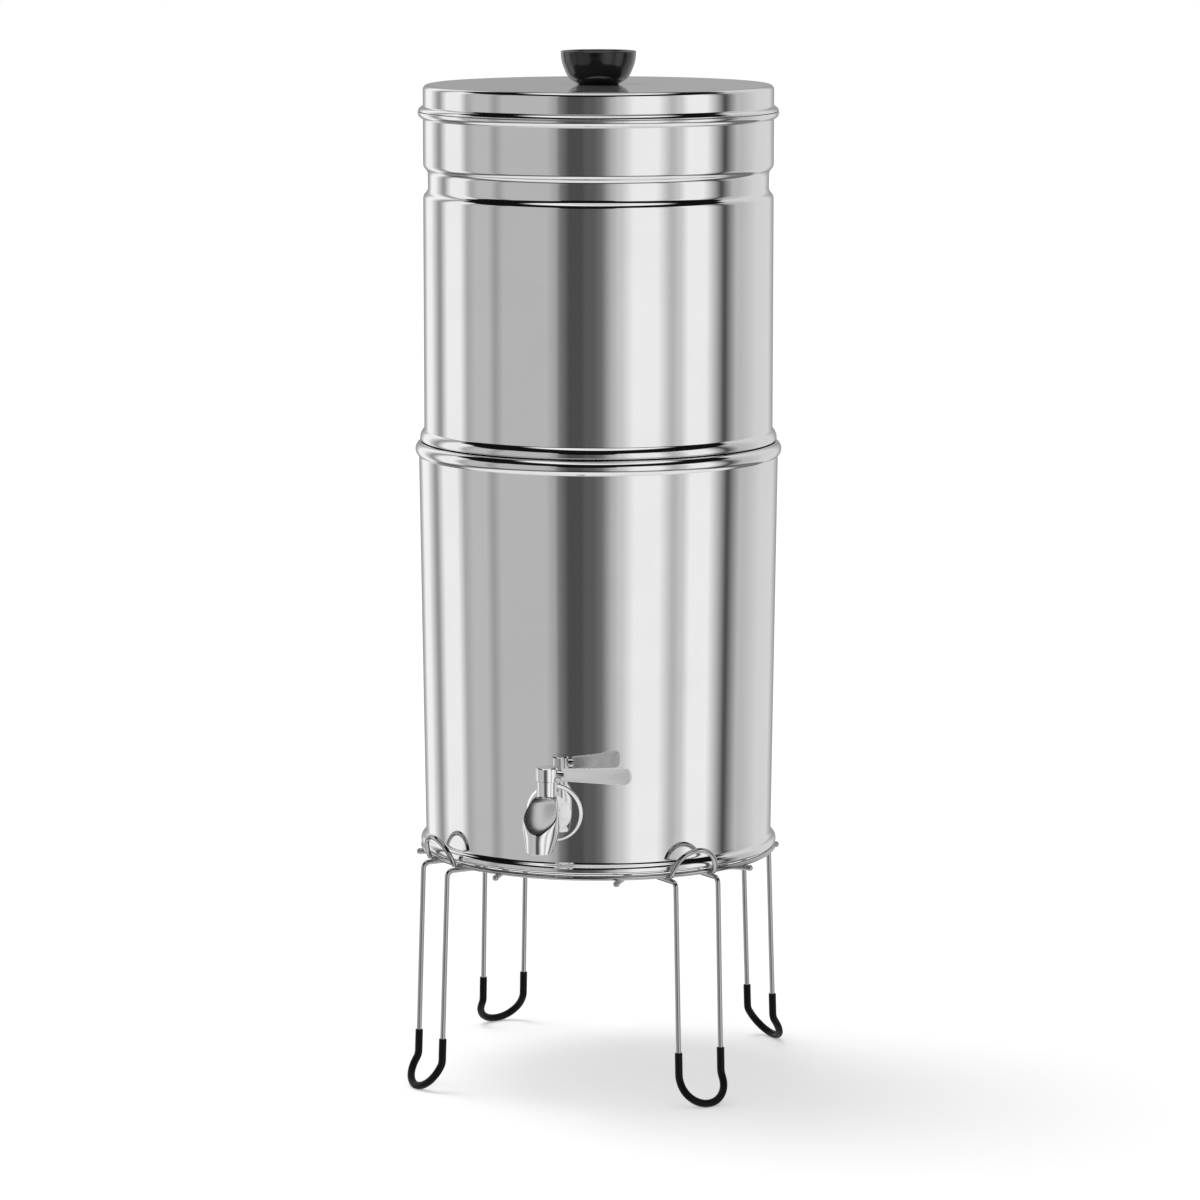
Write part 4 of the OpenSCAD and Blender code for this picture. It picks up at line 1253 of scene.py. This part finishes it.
def spread(rows: list[tuple[float, ...]], steps: int) -> list[tuple[float, ...]]:
    """Fills in rows between the given ones on a smooth curve through them.

    Args:
        rows: The given rows.
        steps: Number of steps from each row to the next.

    Returns:
        All rows, the given ones included.
    """
    filled = []
    for i in range(len(rows) - 1):
        before, a, b, after = rows[max(i - 1, 0)], rows[i], rows[i + 1], rows[min(i + 2, len(rows) - 1)]
        for k in range(steps):
            t = k / steps
            row = []
            for p, q, r, s in zip(before, a, b, after):
                row.append(0.5 * (2 * q + (r - p) * t + (2 * p - 5 * q + 4 * r - s) * t * t
                                  + (3 * q - p - 3 * r + s) * t**3))
            filled.append(tuple(row))
    return filled + [rows[-1]]


@dataclass
class TapLever(Assembly):
    """Hub and paddle that turn with the stem."""

    body: Body = Body.LEVER
    bevel: float = 0.5
    lever_l: float = 50.6
    paddle_t: float = 2.7
    paddle_h: tuple[float, float] = (7.4, 10.3)
    paddle_rise: float = 0.7
    paddle_round: float = 1.2
    paddle_start: float = 2.85
    tip_share: float = 0.44
    neck_r: float = 2.55
    neck_l: float = 4.6
    neck_sunk: float = 0.6
    edge: float = 0.55

    def hub(self) -> Piece:
        """Round hub with a bevelled top edge."""
        extent = Extent.of("tap_hub")
        radius, low, high, bevel = extent.radius, extent.low.z, extent.high.z, self.bevel
        under, ease, most = 0.4, 0.08, bevel * 0.8
        loop = polyline((0, low), (radius - under, low), (radius, low + under), (radius, high - bevel),
                        (radius - ease, high - most), (radius - most, high - ease), (radius - bevel, high),
                        (0, high))
        dense = [loop[0]]
        for a, b in zip(loop, loop[1:]):
            dense += straight(a, b, spacing=2.0) + [b]
        place = Matrix.Translation(Vector((0, extent.middle.y, 0)))
        return lathe("tap_hub_cap", dense, segments=96, place=place)

    def paddle(self) -> Piece:
        """Upright paddle with rounded edges and a round tip."""
        hub = Extent.of("tap_hub")
        arm = Extent.of("tap_lever_arm")
        low_h, high_h = self.paddle_h
        mid_z, turn_r = hub.middle.z, self.paddle_round
        root_x = hub.radius + self.paddle_start
        tip_r = high_h * self.tip_share
        tip_x = self.lever_l - tip_r
        tip_z = mid_z + self.paddle_rise - high_h / 2
        root = arc((root_x + turn_r, mid_z - low_h / 2 + turn_r), turn_r, 180, 270, steps=6)
        cap = arc((root_x + turn_r, mid_z + low_h / 2 - turn_r), turn_r, 90, 180, steps=6)
        tip = arc((tip_x, tip_z + tip_r), tip_r, -90, 0, steps=12)
        tip += arc((tip_x, tip_z + high_h - tip_r), tip_r, 0, 90, steps=12)
        outline = joined(root, tip, cap)
        half = self.paddle_t / 2
        sections = []
        for angle in range(0, 91, 15):
            turn = math.radians(angle)
            inset = self.edge * (1 - math.sin(turn))
            depth = half - self.edge * (1 - math.cos(turn))
            sections.append((inset, -depth))
        sections += [(inset, -depth) for inset, depth in reversed(sections)]
        loops = []
        for inset, depth in sections:
            ring = inset_loop(outline, inset)
            loops.append([Vector((p.x, arm.middle.y + depth, p.y)) for p in ring])
        return skin("tap_lever_paddle", loops)

    def neck(self) -> Piece:
        """Short round neck between hub and paddle."""
        hub = Extent.of("tap_hub")
        radius, length = self.neck_r, self.neck_l
        even, end_r = length * 0.6, radius - 0.2
        loop = polyline((0, 0), (radius, 0), (radius, even), (end_r, length), (0, length))
        start = Vector((hub.radius - self.neck_sunk, hub.middle.y, hub.middle.z))
        place = along_axis(start, Vector((1, 0, 0)))
        return lathe("tap_lever_neck", loop, segments=48, place=place)

    def make(self, nodes: dict[str, Piece]) -> None:
        """Makes the hub and the lever and dresses the stem and its seals."""
        self.seat(self.hub(), Finish.TAP_CHROME, "tap_hub")
        # The chromed paddle gets a half-matt copy of the chrome: painted sheen.
        self.seat(self.paddle(), Finish.LEVER_PAINTED_SHEEN, "tap_lever_arm")
        self.seat(self.neck(), Finish.TAP_CHROME)
        self.keep(nodes, Finish.FASTENER_STEEL, "tap_stem")
        self.keep(nodes, Finish.SEAL_RUBBER, "tap_stem_seals")


def inset_loop(loop: Points, distance: float) -> Points:
    """A closed, counter-clockwise outline moved inwards."""
    count = len(loop)
    moved = []
    for i, p in enumerate(loop):
        along = (loop[(i + 1) % count] - loop[i - 1]).normalized()
        moved.append(p + distance * Vector((-along.y, along.x)))
    return moved


# ---------------------------------------------------------------- stand


@dataclass
class Stand(Assembly):
    """Welded wire stand: ring, crossed wires, hairpin legs, arches and rubber sleeves."""

    body: Body = Body.STAND
    wire_d: float = 3.0
    seam: float = 0.05
    ring_r: float = 105.5
    grid_x: float = 36.5
    overhang: float = 4.3
    leg_gap: float = 29.0
    leg_out: float = 8.0
    leg_in: float = 14.5
    leg_play: float = 0.02
    foot_reach: float = 13.9
    kick_angle: float = 33.6
    leg_bend_r: float = 3.6
    kick_bend_r: float = 8.0
    sleeve_d: float = 4.5
    sleeve_h: float = 32.0
    sleeve_lip: float = 0.35
    foot_flat: float = 0.2
    foot_straight: float = 0.8
    arch_lean: float = 6.4
    end_swell: float = 1.24
    weld_r: float = 1.15
    weld_half: float = 0.8
    turns: dict[str, float] = field(default_factory=lambda: {
        "front_right": -45.0, "back_right": 45.0, "back_left": 135.0, "front_left": -135.0})

    @property
    def ring_z(self) -> float:
        """Height of the ring's middle."""
        return Extent.of("stand_ring").middle.z

    @property
    def grid_z(self) -> float:
        """Height of the straight cross wires' middle."""
        return Extent.of("cross_wire_across_front").middle.z

    @property
    def leg_half(self) -> float:
        """Half the distance between the two wires of a leg."""
        return self.leg_gap / 2

    @property
    def ring_at_leg(self) -> float:
        """How far out a leg's wire crosses the ring."""
        return math.sqrt(self.ring_r**2 - self.leg_half**2)

    @property
    def half_turn(self) -> float:
        """Radius of the bends that make half a turn from one wire of a leg to the other."""
        return self.leg_half - self.leg_play

    def on_leg(self, out: float, side: int, z: float) -> Vector:
        """A point beside a leg's middle line."""
        return Vector((out, side * self.leg_half, z))

    def hairpin(self, line: list[tuple[float, float]]) -> Points:
        """Corners along one side of a leg, from (outwards, height), and back along the other."""
        there = [self.on_leg(out, -1, z) for out, z in line]
        return there + [self.on_leg(out, 1, z) for out, z in reversed(line)]

    def foot_corners(self) -> tuple[Vector, Vector]:
        """The kick above the foot and the foot's bend, as (outwards, height)."""
        bend = Vector((self.ring_at_leg + self.leg_out + self.foot_reach, self.sleeve_d / 2 - self.foot_flat))
        angle = math.radians(self.kick_angle)
        length = self.leg_half + self.kick_bend_r * math.tan(angle / 2) + self.foot_straight
        return bend - length * Vector((math.sin(angle), -math.cos(angle))), bend

    def leg_path(self, top: float | None) -> Points:
        """Middle line of a leg.

        Args:
            top: Height where a sleeve's line starts, or None for the whole wire.

        Returns:
            Points down one side, round the foot and up the other side.
        """
        kick, bend = self.foot_corners()
        out = self.ring_at_leg + self.leg_out
        start_r, start_z = out, self.grid_z
        if top is not None:
            start_r, start_z = out + (kick.x - out) * (self.grid_z - top) / (self.grid_z - kick.y), top
        line = [(start_r, start_z), (kick.x, kick.y), (bend.x, bend.y)]
        bends = [self.kick_bend_r, self.half_turn]
        if top is None:
            line.insert(0, (self.ring_at_leg - self.leg_in, start_z))
            bends.insert(0, self.leg_bend_r)
        return bent_path(self.hairpin(line), bends + bends[::-1])

    def turned(self, path: Points, turn: float) -> Points:
        """A path turned about the stand's axis."""
        matrix = Matrix.Rotation(math.radians(turn), 3, "Z")
        return [matrix @ p for p in path]

    def sleeve(self, name: str, turn: float) -> Piece:
        """Rubber tube round the foot of a leg, flat where it stands."""
        places = stations(self.turned(self.leg_path(self.sleeve_h), turn))
        outer, inner, sides, lip = self.sleeve_d / 2, self.wire_d / 2 + self.seam, 24, self.sleeve_lip
        rounding = [(lip, 0.0), (lip * 0.3, lip * 0.35), (0.0, lip)]
        sections = [places[0].ring(outer - cut, sides, shift) for cut, shift in rounding]
        sections += [place.ring(outer, sides) for place in places[1:-1]]
        sections += [places[-1].ring(outer - cut, sides, -shift) for cut, shift in reversed(rounding)]
        sections += [place.ring(inner, sides) for place in reversed(places)]
        for section in sections:
            for p in section:
                p.z = max(p.z, 0.0)
        return skin(name, sections, wrap=True)

    def arch_path(self) -> Points:
        """Middle line of a leaning arch."""
        half_wire = self.wire_d / 2
        clear = self.ring_r + self.wire_d + self.seam
        start_r = math.sqrt(clear**2 - self.leg_half**2)
        top_z = Extent.of("stand_arch_front_right").high.z - half_wire
        slope = math.atan(self.arch_lean / (top_z - self.grid_z - half_wire))
        start_z = self.grid_z + half_wire + self.seam + half_wire * math.sin(slope)
        line = [(start_r, start_z), (start_r + self.arch_lean, top_z)]
        return bent_path(self.hairpin(line), [self.half_turn] * 2)

    def cross_wires(self) -> dict[str, Points]:
        """Middle lines of the four crossed wires, by node name."""
        reach = math.sqrt((self.ring_r + self.overhang) ** 2 - self.grid_x**2)
        z, dip = self.grid_z, self.wire_d + self.seam
        near = self.grid_x + 3 * self.wire_d
        far = near + 3 * self.wire_d
        lines = {}
        for word, y in (("front", -self.grid_x), ("back", self.grid_x)):
            ends = [Vector((-reach, y, z)), Vector((reach, y, z))]
            lines[f"cross_wire_across_{word}"] = bent_path(ends, [])
        for word, x in (("right", self.grid_x), ("left", -self.grid_x)):
            places = [(-reach, z), (-far, z), (-near, z - dip), (near, z - dip), (far, z), (reach, z)]
            corners = [Vector((x, y, height)) for y, height in places]
            lines[f"cross_wire_along_{word}"] = bent_path(corners, [2 * self.wire_d] * 4)
        return lines

    def weld_spots(self) -> Points:
        """Where wires are welded to each other."""
        spots = []
        ring_under = self.ring_z - self.wire_d / 2
        cross = math.sqrt(self.ring_r**2 - self.grid_x**2)
        outwards, up = self.wire_d * 0.55, 0.2
        for sx in (-1, 1):
            for sy in (-1, 1):
                spots.append(Vector((sx * self.grid_x, sy * self.grid_x, self.grid_z - self.wire_d / 2)))
                spots.append(Vector((sx * cross, sy * self.grid_x, ring_under)))
                spots.append(Vector((sx * self.grid_x, sy * cross, ring_under)))
        for turn in self.turns.values():
            for side in (-1, 1):
                foot = self.on_leg(self.ring_at_leg, side, ring_under)
                rest = self.on_leg(self.ring_at_leg + outwards, side, ring_under + up)
                spots += self.turned([foot, rest], turn)
        return spots

    def weld_nugget(self) -> Points:
        """Outline of one weld nugget."""
        low, high = polyline((0, -self.weld_half), (0, self.weld_half))
        return [low] + arc((0, 0), self.weld_r, -80, 80, steps=8) + [high]

    def make(self, nodes: dict[str, Piece]) -> None:
        """Makes every wire, sleeve and weld."""
        radius, sides = self.wire_d / 2, 20
        section = arc((self.ring_r, self.ring_z), radius, 0, 360 - 360 / sides, steps=sides - 1)
        ring = lathe("stand_ring_wire", section)
        self.seat(ring, Finish.STAND_WIRE, "stand_ring")
        for node, path in self.cross_wires().items():
            self.seat(wire(f"{node}_rod", path, radius, self.end_swell), Finish.STAND_WIRE, node)
        for side, turn in self.turns.items():
            leg = wire(f"stand_leg_{side}_rod", self.turned(self.leg_path(None), turn), radius)
            self.seat(leg, Finish.STAND_WIRE, f"stand_leg_{side}")
            arch = wire(f"stand_arch_{side}_rod", self.turned(self.arch_path(), turn), radius)
            self.seat(arch, Finish.STAND_WIRE, f"stand_arch_{side}")
            sleeve = self.sleeve(f"foot_sleeve_{side}_tube", turn)
            self.seat(sleeve, Finish.FOOT_RUBBER, f"foot_sleeve_{side}")
        for index, spot in enumerate(self.weld_spots()):
            place = Matrix.Translation(spot)
            nugget = lathe(f"weld_{index:02d}", self.weld_nugget(), segments=16, place=place)
            self.seat(nugget, Finish.STAND_WIRE)


# ---------------------------------------------------------------- studio


@dataclass(frozen=True)
class Panel:
    """A reflector of the studio that the steel shows, seen from the filter.

    Angles are in degrees: start and end go round the filter from the camera, top is above level.
    """

    start: float
    end: float
    strength: float
    top: float = 29.0


@dataclass(frozen=True)
class Zone:
    """A height of the studio, in degrees above level, where a light of some strength fades in."""

    low: float
    high: float
    strength: float

    def fade(self, graph: Graph, rise: Socket) -> Socket:
        """Adds the zone's light: nothing under its low edge and its full strength over its high edge."""
        return graph.math("MULTIPLY", graph.smoothstep(rise, self.low, self.high), self.strength)


@dataclass(frozen=True)
class Lamp:
    """A broad, even light: its strength, its spread in degrees and the way it shines."""

    name: str
    energy: float
    spread: float
    way: tuple[float, float, float]


@dataclass
class Studio:
    """Camera, floor, lamps and the ring of reflectors round the filter.

    The reflectors fade out over wall_edge degrees above their tops and fade in from below over the zones
    wall and skirting. Under the skirting the floor's light is ground, and haze is everywhere. The distances
    far and paper_half are in metres.
    """

    azimuth: float = 14.2
    distance: float = 2987.0
    height: float = 736.2
    pitch: float = 8.604
    lens: float = 151.16
    sensor: float = 36.0
    shift: float = 0.0013
    far: float = 30.0
    paper: float = 0.46
    paper_glow: float = 0.34
    paper_half: float = 12.0
    wall_edge: float = 5.0
    wall_unit: float = 2.0
    wall: Zone = Zone(-29.0, -23.0, 0.74)
    skirting: Zone = Zone(-46.0, -39.0, 0.26)
    ceiling: Zone = Zone(61.0, 68.0, 1.1)
    zenith: Zone = Zone(74.0, 82.0, 0.5)
    ground: float = 0.95
    haze: float = 0.006
    panels: tuple[Panel, ...] = (
        Panel(-180, -168, 0.34, 45), Panel(-163, -161, 0.48, 45), Panel(-153, -143, 1.03, 45),
        Panel(-130, -127, 0.36, 38), Panel(-118, -103, 1.03, 31), Panel(-96, -94, 0.48, 27),
        Panel(-88, -77, 0.58, 25), Panel(-72, -70.5, 0.4, 26), Panel(-65, -34, 0.56),
        Panel(-29, -28, 0.44, 26), Panel(-25.3, -24.8, 0.21, 20), Panel(-19, -11, 0.08, 18),
        Panel(-8, -3, 0.115, 18), Panel(1, 2, 0.17, 18), Panel(9, 10, 0.54, 20),
        Panel(13, 15, 0.68, 27), Panel(23, 39, 1.03), Panel(48, 50.5, 0.56),
        Panel(54, 55.5, 0.68), Panel(61, 75, 1.03, 29), Panel(90, 92, 0.09, 30),
        Panel(103, 108, 0.58, 34), Panel(128, 150, 0.77, 45), Panel(166, 180, 0.36, 45),
    )
    lamps: tuple[Lamp, ...] = (
        Lamp("top_light", 1.3, 25.0, (0.3, -0.18, -1.0)), Lamp("side_light", 1.15, 55.0, (1.03, 0.0, -1.0)),
    )

    def camera(self) -> None:
        """Sets up the camera."""
        data = bpy.data.cameras.new("studio_camera")
        data.lens, data.sensor_width, data.shift_x = self.lens, self.sensor, self.shift
        data.clip_end = self.far
        camera = bpy.data.objects.new("studio_camera", data)
        turn = math.radians(self.azimuth)
        ahead, aside = self.distance * math.cos(turn), self.distance * math.sin(turn)
        camera.location = Vector((aside, -ahead, self.height)) * MM
        camera.rotation_euler = (math.radians(90 - self.pitch), 0, turn)
        bpy.context.scene.collection.objects.link(camera)
        bpy.context.scene.camera = camera

    def ring(self, graph: Graph, around: Socket, trait: str, unit: float) -> Socket:
        """One trait of the reflectors, blended from each to the next round the filter.

        Args:
            graph: The world's graph.
            around: Share of the turn, from 0 behind the filter to 1 there again.
            trait: Name of the panels' field.
            unit: What the trait is divided by so that it stays within a ramp's range.

        Returns:
            The blended value, still divided by the unit.
        """
        stops = []
        for panel in self.panels:
            value = getattr(panel, trait) / unit
            stops += [((panel.start + 180) / 360, value), ((panel.end + 180) / 360, value)]
        middle = len(stops) // 2
        seam = (stops[middle - 1][0] + stops[middle][0]) / 2
        level = (stops[middle - 1][1] + stops[middle][1]) / 2
        first, second = stops[:middle] + [(seam, level)], [(seam, level)] + stops[middle:]
        halves = []
        for part, low, high in ((first, 0.0, seam), (second, seam, 1.0)):
            share = graph.add("ShaderNodeMapRange", {0: around, 1: low, 2: high}).outputs[0]
            halves.append(graph.ramp(share, [((place - low) / (high - low), value) for place, value in part]))
        later = graph.math("GREATER_THAN", around, seam)
        parts = {0: later, 2: halves[0], 3: halves[1]}
        return graph.add("ShaderNodeMix", parts, data_type="FLOAT").outputs[0]

    def world(self) -> None:
        """Plain white for the camera, even light on matt surfaces, and the reflectors for polished ones."""
        world = bpy.data.worlds.new("studio")
        bpy.context.scene.world = world
        world.use_nodes = True
        world.node_tree.nodes.clear()
        graph = Graph(world.node_tree)
        way = graph.add("ShaderNodeTexCoord").outputs["Generated"]
        split = graph.add("ShaderNodeSeparateXYZ", {0: way}).outputs
        turn = graph.math("ARCTAN2", split[0], graph.math("MULTIPLY", split[1], -1.0))
        share = graph.math("MULTIPLY_ADD", turn, 1 / (2 * math.pi), 0.5 - self.azimuth / 360)
        around = graph.math("FRACT", graph.math("ADD", share, 1.0))
        rise = graph.math("MULTIPLY", graph.math("ARCSINE", split[2]), 180 / math.pi)
        over = graph.math("MULTIPLY_ADD", self.ring(graph, around, "top", 90.0), -90.0, rise)
        above = graph.math("SUBTRACT", 1.0, graph.smoothstep(over, 0.0, self.wall_edge))
        below = graph.math("ADD", self.wall.fade(graph, rise), self.skirting.fade(graph, rise))
        bands = self.ring(graph, around, "strength", self.wall_unit)
        walls = graph.math("MULTIPLY", graph.math("MULTIPLY", bands, above), below)
        overhead = graph.math("SUBTRACT", self.ceiling.fade(graph, rise), self.zenith.fade(graph, rise))
        sunk = graph.math("SUBTRACT", 1.0, graph.smoothstep(rise, self.skirting.low, self.skirting.high))
        ground = graph.math("MULTIPLY_ADD", sunk, self.ground, self.haze)
        light = graph.math("ADD", graph.math("MULTIPLY_ADD", walls, self.wall_unit, overhead), ground)
        path = graph.add("ShaderNodeLightPath").outputs
        glossy = graph.add("ShaderNodeBackground", {0: light, 1: 1.0}).outputs[0]
        white = graph.add("ShaderNodeBackground", {0: grey(1.0), 1: 1.0}).outputs[0]
        mixed = graph.add("ShaderNodeMixShader", {0: path["Is Glossy Ray"], 1: white, 2: glossy}).outputs[0]
        seen = graph.math("MAXIMUM", path["Is Camera Ray"], path["Is Transmission Ray"])
        final = graph.add("ShaderNodeMixShader", {0: seen, 1: mixed, 2: white}).outputs[0]
        graph.add("ShaderNodeOutputWorld", {0: final})

    def floor(self) -> None:
        """Plain white floor that keeps the filter's shadow and isn't seen in the steel."""
        half = self.paper_half
        mesh = bpy.data.meshes.new("floor")
        corners = [(-half, -half, 0), (half, -half, 0), (half, half, 0), (-half, half, 0)]
        mesh.from_pydata(corners, [], [(0, 1, 2, 3)])
        floor = bpy.data.objects.new("floor", mesh)
        bpy.context.scene.collection.objects.link(floor)
        material, graph, shader = new_material("floor_paper")
        graph.tree.nodes.remove(shader)
        paper = graph.add("ShaderNodeBsdfDiffuse", {0: grey(self.paper)}).outputs[0]
        path = graph.add("ShaderNodeLightPath").outputs
        shown = graph.math("MULTIPLY", path["Is Camera Ray"], self.paper_glow)
        glow = graph.add("ShaderNodeEmission", {0: grey(1.0), 1: shown})
        both = graph.add("ShaderNodeAddShader", {0: paper, 1: glow.outputs[0]}).outputs[0]
        output = next(n for n in graph.tree.nodes if n.bl_idname == "ShaderNodeOutputMaterial")
        graph.feed(output, {0: both})
        mesh.materials.append(material)
        floor.visible_glossy = False

    def lamp(self, lamp: Lamp) -> None:
        """Hangs one lamp that throws a soft shadow and isn't seen in the steel."""
        data = bpy.data.lights.new(lamp.name, "SUN")
        data.energy, data.angle = lamp.energy, math.radians(lamp.spread)
        piece = bpy.data.objects.new(lamp.name, data)
        piece.rotation_euler = Vector(lamp.way).to_track_quat("-Z", "Y").to_euler()
        piece.visible_glossy = False
        bpy.context.scene.collection.objects.link(piece)

    def make(self) -> None:
        """Builds the whole studio."""
        bpy.context.scene.view_settings.view_transform = "Standard"
        self.camera()
        self.world()
        self.floor()
        for lamp in self.lamps:
            self.lamp(lamp)


def main() -> None:
    """Builds the filter's looks and the studio round it."""
    logging.basicConfig(level=logging.INFO, format="%(message)s")
    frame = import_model()
    studio = Studio()
    studio.make()
    wardrobe = Wardrobe()
    for assembly in (Stand, LowerChamber, Tap, TapLever, UpperChamber, Lid):
        assembly(wardrobe).make(frame["nodes"])


if __name__ == "__main__":
    main()
